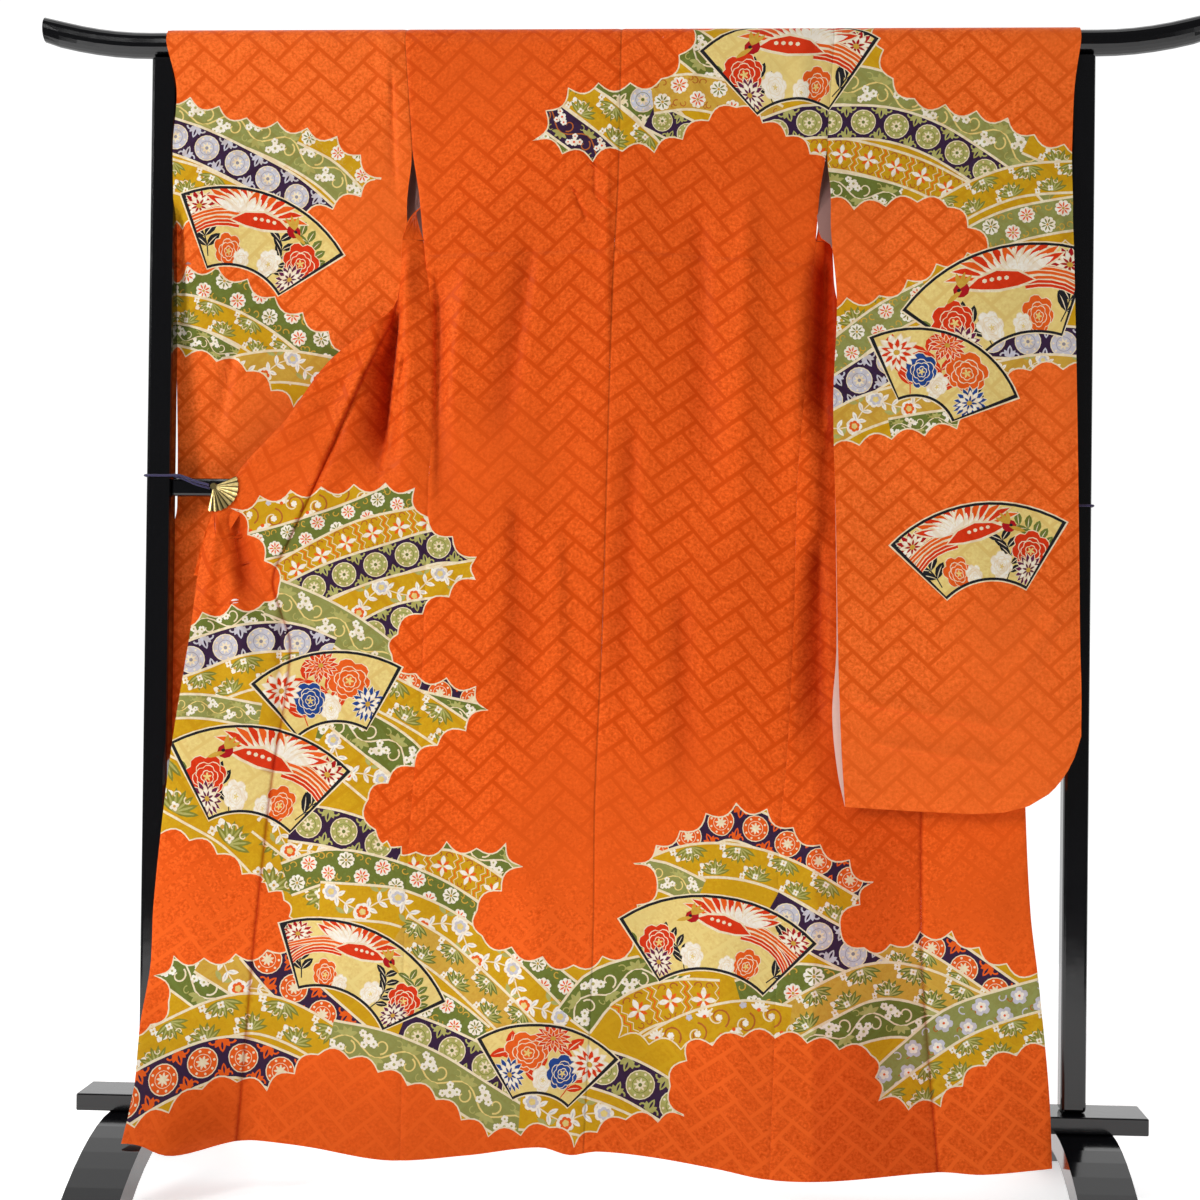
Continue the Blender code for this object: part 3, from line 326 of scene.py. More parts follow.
def figured_silk():
    """The painted damask of the outside."""
    silk = Finish("rinzu silk damask painted")
    uv = silk.node("UVMap", uv_map="weave")[0]
    paint = silk.node("VertexColor", layer_name="paint")
    groove = damask_figure(silk, uv)
    beside_seam = silk.sum("ABSOLUTE", silk.node("SeparateXYZ", {0: uv})["X"])
    # painted shade along the stitched line of each seam
    painted_seam_shade = silk.eased(beside_seam, 0.0006, 0.0022, 0.66, 1.0)
    flower = silk.node("TexVoronoi", {"Vector": uv, "Scale": 1 / FLOWER_PITCH}, feature="F1")["Distance"]
    ring = silk.sum("SINE", silk.sum("MULTIPLY", flower, 16.0))
    speck = silk.noise(1 / WEAVE_SPECK, 4.0, Vector=uv, Roughness=0.78)
    floral = silk.sum("ADD", silk.sum("MULTIPLY", ring, FLOWER_STRENGTH),
                      silk.sum("MULTIPLY", silk.sum("SUBTRACT", speck, 0.5), SPECK_STRENGTH))
    floral = silk.sum("MULTIPLY", floral, silk.sum("SUBTRACT", 1.0, groove))
    # painted sheen: grooves paler low on the skirt and darker higher up
    painted_groove_sheen = silk.eased(silk.height, 0.30, 0.60, -0.75, 1.0)
    # noise patches where the painted sheen of the figure nearly fades
    clear = silk.eased(silk.noise(2.6, 1.0), 0.36, 0.54, 0.50, 1.10)
    strength = silk.sum("MULTIPLY", silk.between(paint["Alpha"], UNDER_PAINT, 1.0), clear)
    shaded = silk.sum("SUBTRACT", silk.sum("MULTIPLY", groove, painted_groove_sheen), floral)
    # the figure's light and dark, painted into the base colour as painted sheen
    figure = silk.tint(silk.sum("MULTIPLY", shaded, strength), GROOVE_TINT, False)
    cloudy = silk.sum("MULTIPLY", silk.sum("SUBTRACT", silk.noise(5.0, 2.0), 0.5), 0.30)
    # tone: clouding that varies at random, and painted shade darkening the foot of the skirt
    tone = silk.sum("MULTIPLY", silk.sum("ADD", 1.0, cloudy), silk.eased(silk.height, 0.05, 0.36, 0.80, 1.0))
    colour = silk.scaled(paint["Color"], silk.sum("MULTIPLY", tone, painted_seam_shade))
    # painted shade in gathered folds and along deep seams, read from a mesh attribute
    painted_shade = silk.node("Attribute", attribute_name="painted_shade")["Fac"]
    colour = silk.times(silk.times(colour, figure), silk.tint(painted_shade, PAINTED_SHADE_TINT))
    relief = silk.sum("SUBTRACT", silk.sum("MULTIPLY", speck, 0.35), groove)
    silk.shade({"Base Color": colour, "Roughness": silk.between(groove, 0.50, 0.38),
                "Normal": silk.bump(0.22, 0.0006, relief), "IOR": 1.45, "Specular IOR Level": 0.16,
                "Specular Tint": "#FFB47C", "Sheen Weight": 0.02, "Sheen Roughness": 0.4})
    return silk


silk = figured_silk()
print("damask block", round(BLOCK_WIDTH * 1000), "mm wide, slanted", round(math.degrees(BLOCK_SLANT)))

# %% [markdown]
# ## Lining
# A furisode is lined. The upper lining is plain white silk, and the last half metre above the
# hem is lined in the colour of the outside, so that no white shows when the skirt swings.
# The sleeves are lined in pale pink, and what shows inside the underarms is painted plum
# brown, as painted shade on the lining.
# It is a thin smooth weave, so all it needs is a fine speckle and the change of colour.

# %% White and orange lining
LINING_CHANGE = 0.58
WHITE_LINING = "#F3E9E2"
ORANGE_LINING = "#E8622E"
# painted shade: plum brown laid on the lining where it shows inside the underarms
PAINTED_UNDERARM_SHADE = "#96685F"
PINK_LINING = "#E6BFB2"


def lining_silk(name, shoulder_height, shoulder_tone_or_shade, upper, lower):
    """A lining with a colour up high, painted shade on fronts and sleeves, and one near the hem."""
    weave = Finish(name)
    tone = weave.choose(weave.sum("LESS_THAN", weave.height, LINING_CHANGE), upper, lower)
    tone = weave.choose(weave.sum("GREATER_THAN", weave.height, shoulder_height), tone, shoulder_tone_or_shade)
    speckle = weave.between(weave.noise(300.0, 2.0), 0.93, 1.05)
    weave.shade({"Base Color": weave.scaled(tone, speckle), "Roughness": 0.48, "Sheen Weight": 0.15})
    return weave


lining = lining_silk("habutae silk lining", 2.0, WHITE_LINING, WHITE_LINING, ORANGE_LINING)
front_lining = lining_silk("habutae silk lining of the fronts", 1.37, PAINTED_UNDERARM_SHADE, WHITE_LINING,
                           ORANGE_LINING)
sleeve_lining = lining_silk("habutae silk lining of the sleeves", 1.25, PAINTED_UNDERARM_SHADE, PINK_LINING,
                            PINK_LINING)
print("lining changes colour", LINING_CHANGE, "m above the floor")

# %% [markdown]
# ## The lines that the cloth is cut and hung by
# A kimono is sewn from straight widths of one bolt, so each piece of silk is a strip between two
# lines. These tables give the lines as the cloth hangs, in metres: the height, the place across,
# and the depth, in which smaller is nearer to the viewer. They are the lines that the packed
# walls were made from, apart from the left corner of the hem, which the photo shows a little
# further in.

# %% Lines of the body
BAR_CENTRE = 1.671
ROUND_BAR = 0.0215
SEAM_GAP = 0.0003
HEM_BASE = 0.060
SLEEVE_BASE = 0.570
ARMHOLE_FOOT = 1.510
SIDE_SEAM_TOP = 1.380
OKUMI_TOP = 1.300
LINING_BEHIND_EDGE = 0.0035
TOP_OF_CLOTH = BAR_CENTRE + ROUND_BAR * math.pi / 2 - SEAM_GAP / 2

CENTRE_SEAM = (
    # height, across
    (1.671, 0.004), (1.470, 0.002), (1.320, -0.004), (1.100, -0.008),
    (0.800, -0.013), (0.570, -0.020), (0.360, -0.020), (0.060, -0.030),
)
BACK_DEPTH = (
    # height, depth: the backs swing clear of the crossbar and the base plank
    (1.671, -0.0215), (1.380, -0.0235), (1.040, -0.0320),
    (0.600, -0.0450), (0.110, -0.0600), (0.060, -0.0610),
)
SLEEVE_SEAM_LEFT = ((1.671, -0.3110), (1.600, -0.3055), (1.510, -0.2985))
SLEEVE_SEAM_RIGHT = ((1.671, 0.3105), (1.600, 0.3062), (1.510, 0.3025))
UNDERARM_LEFT = ((1.510, -0.2985), (1.450, -0.2880), (1.380, -0.2805))
UNDERARM_RIGHT = ((1.510, 0.3025), (1.450, 0.2930), (1.380, 0.2880))
SIDE_SEAM_LEFT = (
    # height, across
    (1.380, -0.2805), (1.246, -0.2640), (1.147, -0.2600), (1.037, -0.2670), (0.925, -0.2690),
    (0.704, -0.2740), (0.569, -0.2840), (0.408, -0.2910), (0.060, -0.2920),
)
SIDE_SEAM_RIGHT = (
    # height, across
    (1.380, 0.2880), (1.150, 0.2730), (1.035, 0.2650), (0.834, 0.2620),
    (0.639, 0.2540), (0.523, 0.2450), (0.322, 0.2420), (0.060, 0.2350),
)
OKUMI_SEAM_LEFT = (
    # height, across, depth
    (1.295, -0.3155, -0.0340), (1.250, -0.3320, -0.0335), (1.205, -0.3530, -0.0325),
    (1.100, -0.4010, -0.0320),
    (1.015, -0.4360, -0.0325), (0.950, -0.4660, -0.0345), (0.888, -0.4920, -0.0365),
    (0.845, -0.4840, -0.0375), (0.797, -0.4660, -0.0390), (0.724, -0.4700, -0.0410),
    (0.604, -0.4870, -0.0450), (0.484, -0.4990, -0.0485), (0.345, -0.5110, -0.0530),
    (0.060, -0.5280, -0.0610),
)
FRONT_EDGE_LEFT = (
    # height, across, depth
    (1.380, -0.3100, -0.0340), (1.290, -0.3190, -0.0340), (1.245, -0.3650, -0.0330),
    (1.200, -0.4170, -0.0320), (1.115, -0.4790, -0.0305), (1.060, -0.5310, -0.0300),
    (0.989, -0.5790, -0.0300), (0.930, -0.5960, -0.0315), (0.887, -0.6040, -0.0330),
    (0.811, -0.6120, -0.0380), (0.626, -0.6380, -0.0440), (0.418, -0.6570, -0.0510),
    (0.323, -0.6600, -0.0530), (0.218, -0.6710, -0.0565), (0.149, -0.6690, -0.0590),
    (0.060, -0.6680, -0.0610),
)
OKUMI_SEAM_RIGHT = (
    # height, across, depth
    (1.295, 0.3195, -0.0140), (1.250, 0.3320, -0.0160), (1.205, 0.3520, -0.0175),
    (1.100, 0.3960, -0.0215),
    (1.015, 0.4280, -0.0230), (0.930, 0.4450, -0.0275), (0.800, 0.4450, -0.0365),
    (0.559, 0.4450, -0.0455), (0.364, 0.4470, -0.0520), (0.284, 0.4520, -0.0550),
    (0.060, 0.4720, -0.0610),
)
FRONT_EDGE_RIGHT = (
    # height, across, depth
    (1.380, 0.3120, -0.0120), (1.290, 0.3230, -0.0140), (1.245, 0.3650, -0.0155),
    (1.200, 0.4150, -0.0170), (1.115, 0.4750, -0.0195), (1.060, 0.5270, -0.0215), (1.000, 0.5690, -0.0215),
    (0.950, 0.5785, -0.0215), (0.890, 0.5820, -0.0265), (0.800, 0.5850, -0.0340),
    (0.572, 0.5920, -0.0450), (0.421, 0.6000, -0.0500), (0.324, 0.6120, -0.0530),
    (0.169, 0.6270, -0.0580), (0.060, 0.6320, -0.0610),
)
HEM = (
    # across, height: the left corner lies on the slope of the foot
    (-0.684, 0.0935), (-0.645, 0.0930), (-0.600, 0.0760), (-0.527, 0.0790), (-0.431, 0.0710),
    (-0.311, 0.0540), (-0.196, 0.0640), (-0.092, 0.0780), (-0.049, 0.0680), (-0.010, 0.0740),
    (0.068, 0.0680), (0.158, 0.0540), (0.235, 0.0400), (0.321, 0.0400), (0.474, 0.0570),
    (0.535, 0.0550), (0.632, 0.0660),
)
HEM_FADE_HEIGHT = 0.350
FOOT_SWING = (
    # height, forward: how the left corner of the hem slides forward on the foot
    (0.330, 0.000), (0.220, 0.014), (0.160, 0.040), (0.120, 0.075), (0.095, 0.105), (0.060, 0.105),
)
FOOT_SWING_FROM = -0.500
FOOT_SWING_FULL = -0.625
NECK_EDGE_LEFT = (
    # height, across, depth
    (1.671, -0.1000, 0.0215), (1.650, -0.1000, 0.0225), (1.630, -0.1080, 0.0230),
    (1.590, -0.1360, 0.0235), (1.550, -0.1700, 0.0230), (1.510, -0.2075, 0.0215),
)
NECK_EDGE_RIGHT = (
    # height, across, depth
    (1.671, 0.1080, 0.0215), (1.650, 0.1080, 0.0225), (1.630, 0.1160, 0.0230),
    (1.590, 0.1430, 0.0235), (1.550, 0.1760, 0.0230), (1.510, 0.2120, 0.0215),
)
SHOULDER_FRONT_DEPTH = ((1.671, 0.0215), (1.600, 0.0215), (1.510, 0.0185))
GATHER_LEFT = (
    # front edge across, depth, height; side edge across, depth, height
    (-0.2450, 0.0130, 1.470, -0.2975, 0.0085, 1.470),
    (-0.2780, -0.0020, 1.440, -0.2965, 0.0020, 1.440),
    (-0.2960, -0.0230, 1.418, -0.2940, -0.0050, 1.420),
    (-0.3040, -0.0320, 1.400, -0.2880, -0.0150, 1.400),
)
GATHER_RIGHT = (
    # place of the front edge and of the side edge: across, depth, height each
    (0.2480, 0.0200, 1.480, 0.3000, 0.0075, 1.475),
    (0.2800, 0.0180, 1.450, 0.2985, -0.0030, 1.445),
    (0.2980, 0.0120, 1.425, 0.2955, -0.0110, 1.420),
    (0.3070, -0.0010, 1.400, 0.2915, -0.0180, 1.400),
)

# %% Lines of the sleeves, the folds and the collar
SLEEVE_LEFT_NEAR = (
    # height, across at the outer edge, across at the inner edge, depth
    (1.671, -0.6640, -0.3110, -0.0215), (1.600, -0.6465, -0.3055, -0.0220),
    (1.510, -0.6465, -0.2985, -0.0225), (1.440, -0.6465, -0.3060, -0.0155),
    (1.380, -0.6465, -0.3065, -0.0080), (1.326, -0.6465, -0.3150, -0.0030),
    (1.200, -0.6460, -0.3180, 0.0100), (1.060, -0.6445, -0.3170, 0.0195),
    (0.850, -0.6450, -0.3190, 0.0205), (0.570, -0.6450, -0.3200, 0.0220),
)
SLEEVE_LEFT_FAR = (
    # height, across at the outer edge, across at the inner edge, depth
    (1.671, -0.6640, -0.3110, 0.0215), (1.600, -0.6480, -0.3055, 0.0215),
    (1.510, -0.6465, -0.2985, 0.0185), (1.440, -0.6465, -0.3060, 0.0195),
    (1.380, -0.6465, -0.3065, 0.0215), (1.326, -0.6465, -0.3150, 0.0230),
    (1.200, -0.6460, -0.3180, 0.0255), (1.060, -0.6445, -0.3170, 0.0285),
    (0.850, -0.6450, -0.3190, 0.0290), (0.570, -0.6450, -0.3200, 0.0300),
)
SLEEVE_RIGHT_NEAR = (
    # height, across at the outer edge, across at the inner edge, depth
    (1.671, 0.6640, 0.3105, -0.0215), (1.600, 0.6545, 0.3062, -0.0220),
    (1.510, 0.6500, 0.3025, -0.0225), (1.450, 0.6500, 0.3080, -0.0320),
    (1.390, 0.6510, 0.3090, -0.0400), (1.292, 0.6530, 0.3180, -0.0455),
    (1.148, 0.6560, 0.3140, -0.0530), (0.980, 0.6590, 0.3190, -0.0590),
    (0.790, 0.6620, 0.3240, -0.0630), (0.654, 0.6640, 0.3300, -0.0645),
    (0.570, 0.6640, 0.3360, -0.0655),
)
SLEEVE_RIGHT_FAR = (
    # height, across at the outer edge, across at the inner edge, depth
    (1.671, 0.6640, 0.3105, 0.0215), (1.600, 0.6480, 0.3062, 0.0215),
    (1.510, 0.6430, 0.3025, 0.0185), (1.440, 0.6420, 0.3085, -0.0140),
    (1.400, 0.6430, 0.3090, -0.0270), (1.360, 0.6500, 0.3130, -0.0345),
    (1.292, 0.6525, 0.3185, -0.0405), (1.148, 0.6555, 0.3150, -0.0470),
    (0.980, 0.6585, 0.3190, -0.0520), (0.790, 0.6615, 0.3220, -0.0560),
    (0.700, 0.6635, 0.3170, -0.0575), (0.620, 0.6635, 0.3250, -0.0585),
    (0.570, 0.6635, 0.3360, -0.0590),
)
SLEEVE_FOOT = (
    # distance across from the centre, height: round at the outer corner
    (0.300, 0.5720), (0.427, 0.5660), (0.514, 0.5630), (0.560, 0.5660), (0.593, 0.5750),
    (0.625, 0.5950), (0.645, 0.6200), (0.657, 0.6450), (0.665, 0.6750),
)
SLEEVE_FADE_HEIGHT = 0.850
WRIST_OPENING_FOOT = 1.440
SLEEVE_SEAM_REACH = 0.016
BODY_FOLDS = (
    # top across and height, foot across and height, half width, rise towards the viewer
    (-0.312, 1.330, -0.338, 1.030, 0.016, -0.011),
    (-0.286, 1.340, -0.302, 0.960, 0.022, 0.006),
    (-0.335, 1.215, -0.470, 0.905, 0.020, 0.008),
    (-0.372, 1.180, -0.420, 1.060, 0.022, -0.006),
    (-0.425, 1.150, -0.480, 1.060, 0.022, 0.004),
    (-0.560, 0.940, -0.515, 0.700, 0.016, 0.007),
    (-0.548, 0.950, -0.470, 0.800, 0.016, -0.005),
    (-0.583, 0.920, -0.570, 0.640, 0.018, -0.004),
    (-0.360, 0.960, -0.380, 0.300, 0.045, 0.005),
    (-0.450, 0.560, -0.455, 0.080, 0.040, -0.006),
    (-0.600, 0.560, -0.590, 0.200, 0.035, 0.005),
    (-0.200, 1.520, -0.150, 0.650, 0.045, 0.004),
    (-0.080, 1.480, -0.060, 0.420, 0.040, -0.004),
    (-0.220, 0.640, -0.235, 0.080, 0.040, -0.006),
    (-0.110, 0.520, -0.095, 0.080, 0.035, 0.007),
    (0.075, 1.600, 0.090, 0.700, 0.045, -0.004),
    (0.185, 1.560, 0.175, 0.560, 0.040, 0.004),
    (0.060, 0.560, 0.075, 0.080, 0.040, -0.006),
    (0.165, 0.520, 0.185, 0.080, 0.035, 0.006),
    (0.279, 1.330, 0.290, 0.800, 0.016, 0.006),
    (0.303, 1.180, 0.315, 0.820, 0.016, -0.005),
    (0.330, 0.560, 0.345, 0.080, 0.040, 0.006),
    (0.420, 0.520, 0.405, 0.080, 0.030, -0.004),
    (0.540, 0.520, 0.560, 0.080, 0.035, 0.006),
)
SLEEVE_FOLDS = (
    # top across and height, foot across and height, half width, rise towards the viewer
    (-0.380, 1.600, -0.400, 0.900, 0.040, 0.003),
    (-0.500, 1.640, -0.480, 0.700, 0.050, -0.003),
    (-0.600, 1.600, -0.590, 0.750, 0.035, 0.003),
    (0.390, 1.560, 0.400, 0.800, 0.045, -0.003),
    (0.500, 1.500, 0.520, 0.650, 0.050, 0.003),
    (0.610, 1.520, 0.600, 0.720, 0.035, -0.003),
)
SHOULDER_RIPPLES = (
    # small creases that the sleeve seams and the neck pull over the bar
    (-0.340, 1.690, -0.332, 1.560, 0.012, 0.004),
    (0.100, 1.690, 0.112, 1.560, 0.014, 0.003),
    (0.270, 1.690, 0.262, 1.540, 0.014, 0.004),
)
COLLAR_TAIL = (
    # height, past the edge, width behind the gore
    (1.240, 0.0015, 0.026), (1.190, 0.0015, 0.044), (1.115, 0.0018, 0.050), (1.050, 0.0022, 0.050),
    (0.990, 0.0030, 0.042), (0.930, 0.0040, 0.024), (0.889, 0.0060, 0.012),
)
print("lines read for", 10, "pieces of the body and", 4, "sleeve walls")

# %% [markdown]
# ## From flat cloth to hung cloth
# Each piece is drawn flat first, as a tailor lays it out: across, and height. Above the bar's
# middle the height runs on as the length of cloth round the bar. A place function then hangs the
# points: it gives the depth between the two edges, adds the folds as soft troughs and ridges,
# and presses the seams in by a millimetre. numpy works out all points of a piece at once.

# %% Reading the lines
def smooth(rows, where, column=1):
    """Read one column of a table along a smooth curve through its rows."""
    ordered = np.array(sorted(rows))
    at, value = ordered[:, 0], ordered[:, column]
    index = np.arange(len(at))
    after = np.minimum(index + 1, len(at) - 1)
    before = np.maximum(index - 1, 0)
    slope = (value[after] - value[before]) / (at[after] - at[before])
    where = np.clip(where, at[0], at[-1])
    low = np.clip(np.searchsorted(at, where, side="right") - 1, 0, len(at) - 2)
    span = at[low + 1] - at[low]
    t = (where - at[low]) / span
    return ((2 * t**3 - 3 * t**2 + 1) * value[low] + (t**3 - 2 * t**2 + t) * slope[low] * span
            + (3 * t**2 - 2 * t**3) * value[low + 1] + (t**3 - t**2) * slope[low + 1] * span)


def straight(rows, where, column=1):
    """Read one column of a table along straight lines between its rows."""
    ordered = np.array(sorted(rows))
    return np.interp(where, ordered[:, 0], ordered[:, column])


def ease(share):
    """Rise smoothly from 0 to 1."""
    share = np.clip(share, 0.0, 1.0)
    return share * share * (3.0 - 2.0 * share)


def beside_fold(fold, across, height):
    """How far points are along a fold, as a share of its length, and how far off it."""
    top_x, top_z, foot_x, foot_z = fold[:4]
    run_x, run_z = foot_x - top_x, foot_z - top_z
    length = math.hypot(run_x, run_z)
    along = ((across - top_x) * run_x + (height - top_z) * run_z) / length
    return along / length, ((across - top_x) * run_z - (height - top_z) * run_x) / length


def fold_rise(folds, across, height):
    """How far the folds at each place stand towards the viewer."""
    rise = np.zeros_like(across)
    for fold in folds:
        share, off = beside_fold(fold, across, height)
        half_width, depth = fold[4:]
        rise += depth * ease(share / 0.25) * ease((1.0 - share) / 0.25) * np.exp(-((off / half_width) ** 2))
    return rise


# The deepest folds of the cloth. Each starts narrow and opens towards its foot, as a gather does
# that hangs from one point.
GATHERS = (
    # top across and height, foot across and height, width to each side, rise
    (-0.314, 1.300, -0.345, 1.010, 0.036, 0.007, -0.021),
    (-0.302, 1.230, -0.330, 1.030, 0.007, 0.013, -0.008),
    (-0.332, 1.240, -0.440, 1.015, 0.005, 0.030, -0.011),
    (-0.298, 1.385, -0.322, 1.040, 0.010, 0.024, 0.010),
    (-0.320, 1.290, -0.425, 1.030, 0.034, 0.016, 0.008),
    (-0.345, 1.235, -0.500, 1.030, 0.022, 0.022, -0.004),
    (-0.396, 1.105, -0.494, 0.880, 0.005, 0.006, -0.005),
    (-0.262, 1.345, -0.250, 0.960, 0.008, 0.024, -0.010),
    (-0.212, 1.365, -0.252, 1.020, 0.024, 0.032, 0.007),
    (-0.118, 1.395, -0.172, 1.040, 0.034, 0.018, -0.007),
    (-0.014, 1.520, -0.010, 1.160, 0.014, 0.008, 0.003),
    (-0.033, 1.500, -0.031, 1.434, 0.004, 0.005, -0.0028),
    (-0.067, 1.465, -0.037, 1.396, 0.004, 0.005, -0.0026),
    (-0.032, 1.446, 0.000, 1.416, 0.005, 0.004, -0.0026),
    (-0.140, 1.030, -0.130, 0.620, 0.024, 0.030, -0.006),
    (-0.080, 0.980, -0.070, 0.600, 0.026, 0.018, 0.005),
    (0.302, 1.385, 0.300, 1.060, 0.034, 0.018, -0.024),
    (0.296, 0.975, 0.296, 0.600, 0.034, 0.020, -0.016),
    (0.262, 1.330, 0.258, 0.900, 0.020, 0.020, 0.004),
    (0.120, 1.450, 0.135, 0.980, 0.036, 0.024, -0.006),
    (0.190, 1.480, 0.180, 0.900, 0.026, 0.030, 0.005),
    (0.030, 1.150, 0.016, 0.650, 0.030, 0.020, -0.006),
    (0.100, 0.900, 0.110, 0.540, 0.026, 0.026, -0.006),
    (-0.573, 0.995, -0.594, 0.780, 0.016, 0.014, 0.007),
    (-0.557, 0.995, -0.528, 0.830, 0.014, 0.026, -0.013),
    (-0.480, 0.870, -0.478, 0.620, 0.012, 0.006, -0.005),
)
SLEEVE_GATHERS = (
    # top across and height, foot across and height, width to each side, rise
    (0.320, 0.724, 0.620, 0.676, 0.007, 0.024, 0.006),
    (0.350, 0.664, 0.600, 0.627, 0.006, 0.016, 0.004),
    (0.640, 0.860, 0.560, 0.740, 0.014, 0.020, 0.004),
    (-0.330, 1.640, -0.322, 1.420, 0.010, 0.006, -0.004),
    (-0.560, 1.240, -0.600, 1.060, 0.020, 0.014, -0.006),
)

GATHER_START = 0.45
SEAM_DIP = 0.0013
SEAM_REACH = 0.0026


def opened(share):
    """How wide a gather has opened, from its start to its foot."""
    return GATHER_START + (1.0 - GATHER_START) * share


def gather_rise(across, height, gathers=GATHERS):
    """How far the gathers stand towards the viewer."""
    rise = np.zeros_like(across)
    for gather in gathers:
        share, off = beside_fold(gather, across, height)
        left_width, right_width, depth = gather[4:]
        width = np.where(off > 0, left_width, right_width) * opened(np.clip(share, 0.0, 1.0))
        rise += depth * ease(share / 0.18) * ease((1.0 - share) / 0.40) * np.exp(-((off / width) ** 2))
    return rise


def foot_swing(across, height):
    """How far the left corner of the hem slides forward on the sloping foot."""
    share = ease((FOOT_SWING_FROM - across) / (FOOT_SWING_FROM - FOOT_SWING_FULL))
    return share * straight(FOOT_SWING, height)


def seam_dip(distance, depth=SEAM_DIP, reach=SEAM_REACH):
    """How far the cloth is pressed in beside a seam."""
    return depth * np.exp(-((distance / reach) ** 2))


print("folds set by hand:", len(BODY_FOLDS), "on the body and", len(SLEEVE_FOLDS), "on the sleeves")

# %% Hanging functions
def hem_drop(across):
    """How far the hem lies above or below its base."""
    return smooth(HEM, across) - HEM_BASE


def sleeve_drop(across):
    """The same for a sleeve, whose foot is round at its outer corner."""
    return straight(SLEEVE_FOOT, np.abs(across)) - SLEEVE_BASE


BODY_FOOT = (hem_drop, HEM_FADE_HEIGHT, HEM_BASE, 3)
SLEEVE_END = (sleeve_drop, SLEEVE_FADE_HEIGHT, SLEEVE_BASE, 4)


def lift(foot, across, level):
    """How far the cloth at a level is lifted as its foot rises and falls along its edge."""
    drop, fade_height, base, _ = foot
    return ease((fade_height - level) / (fade_height - base)) * drop(across)


def level_at(foot, across, height):
    """The level of the cloth at a height, found in a few rounds."""
    drop, fade_height, base, rounds = foot
    dropped = drop(across)
    level = np.array(height, dtype=float)
    for _ in range(rounds):
        level = height - ease((fade_height - level) / (fade_height - base)) * dropped
    return level


def round_the_bar(across, height, depth, rise, side):
    """Hang points at their depth, or above the bar's middle lay them round it."""
    turn = np.clip((height - BAR_CENTRE) / ROUND_BAR, 0.0, math.pi / 2)
    low = height <= BAR_CENTRE
    reach = ROUND_BAR + np.maximum(rise, -0.0008) * ease((TOP_OF_CLOTH - height) / 0.010)
    y = np.where(low, depth + side * rise, side * reach * np.cos(turn))
    z = np.where(low, height, BAR_CENTRE + reach * np.sin(turn))
    return np.stack([across, y, z], axis=-1)


def side_line(level, seams):
    """The side of a back piece: sleeve seam, open underarm, side seam."""
    sleeve_seam, underarm, side_seam = seams
    upper = np.where(level >= ARMHOLE_FOOT, straight(sleeve_seam, level), straight(underarm, level))
    return np.where(level >= SIDE_SEAM_TOP, upper, smooth(side_seam, level))


LEFT_SEAMS = (SLEEVE_SEAM_LEFT, UNDERARM_LEFT, SIDE_SEAM_LEFT)
RIGHT_SEAMS = (SLEEVE_SEAM_RIGHT, UNDERARM_RIGHT, SIDE_SEAM_RIGHT)
# Height, and the place across where the right front turns away behind the sleeve's edge;
# past it the front is painted in shade.
TURNED_AWAY = ((1.047, 0.292), (1.128, 0.306), (1.220, 0.302), (1.312, 0.297), (1.376, 0.296))
# Place across, and height.
WAIST_TUCK = ((-0.2800, 1.3560), (-0.0040, 1.3660), (0.2880, 1.3440))
DEEPEST_FOLD = 0.020


def tuck_step(across, height):
    """The stitched tuck across the back at the waist, a small step with a pressed line."""
    above = height - straight(WAIST_TUCK, across)
    step = 0.0016 * ease((0.004 - above) / 0.004) * ease((above + 0.030) / 0.026)
    return step - seam_dip(above - 0.002, 0.0016, 0.0024)


def painted_shade_of(across, height):
    """Painted shade on a point of the body, from 0 to 1, by how deep it lies in a gathered fold."""
    return np.clip(-gather_rise(across, height) / DEEPEST_FOLD, 0.0, 1.0)


def painted_shade_right(across, height):
    """The same for the right front, painted also where it turns away behind the sleeve's edge."""
    turned = ease((across - straight(TURNED_AWAY, height)) / 0.004)
    return np.maximum(painted_shade_of(across, height), turned * (0.30 + 0.70 * ease((height - 1.05) / 0.07)))


def painted_shade_beside(seam, other=painted_shade_of):
    """The same, plus painted shade along a deep seam, where the cloth on both sides turns in."""
    def painted_shade(across, height):
        beside = 0.85 * ease(1.0 - np.abs(across - smooth(seam, height)) / 0.0045)
        return np.maximum(other(across, height), beside * (height < OKUMI_TOP))
    return painted_shade


def hang_back(across, height):
    """Hang a back piece."""
    level = level_at(BODY_FOOT, across, height)
    rise = fold_rise(BODY_FOLDS + SHOULDER_RIPPLES, across, height) + gather_rise(across, height)
    rise += tuck_step(across, height) - seam_dip(across - smooth(CENTRE_SEAM, level))
    for seams in (LEFT_SEAMS, RIGHT_SEAMS):
        rise -= seam_dip(across - side_line(level, seams))
    return round_the_bar(across, height, smooth(BACK_DEPTH, level), rise, -1)


def hang_between(outer, side, swings):
    """A hanging function for a piece of the opened front, between edges with their own depth."""
    def hang(across, height):
        level = level_at(BODY_FOOT, across, height)
        outer_x, outer_y = outer(level)
        side_x, side_y = side(level)
        column = (across - outer_x) / (side_x - outer_x)
        y = outer_y + (side_y - outer_y) * column - fold_rise(BODY_FOLDS, across, height)
        y += seam_dip(across - side_x) + seam_dip(across - outer_x) - gather_rise(across, height)
        if swings:
            y -= foot_swing(across, height)
        return np.stack([across, y, height], axis=-1)
    return hang


def pair(table):
    """A reader for an edge line that has its own depth."""
    return lambda level: (smooth(table, level, 1), smooth(table, level, 2))


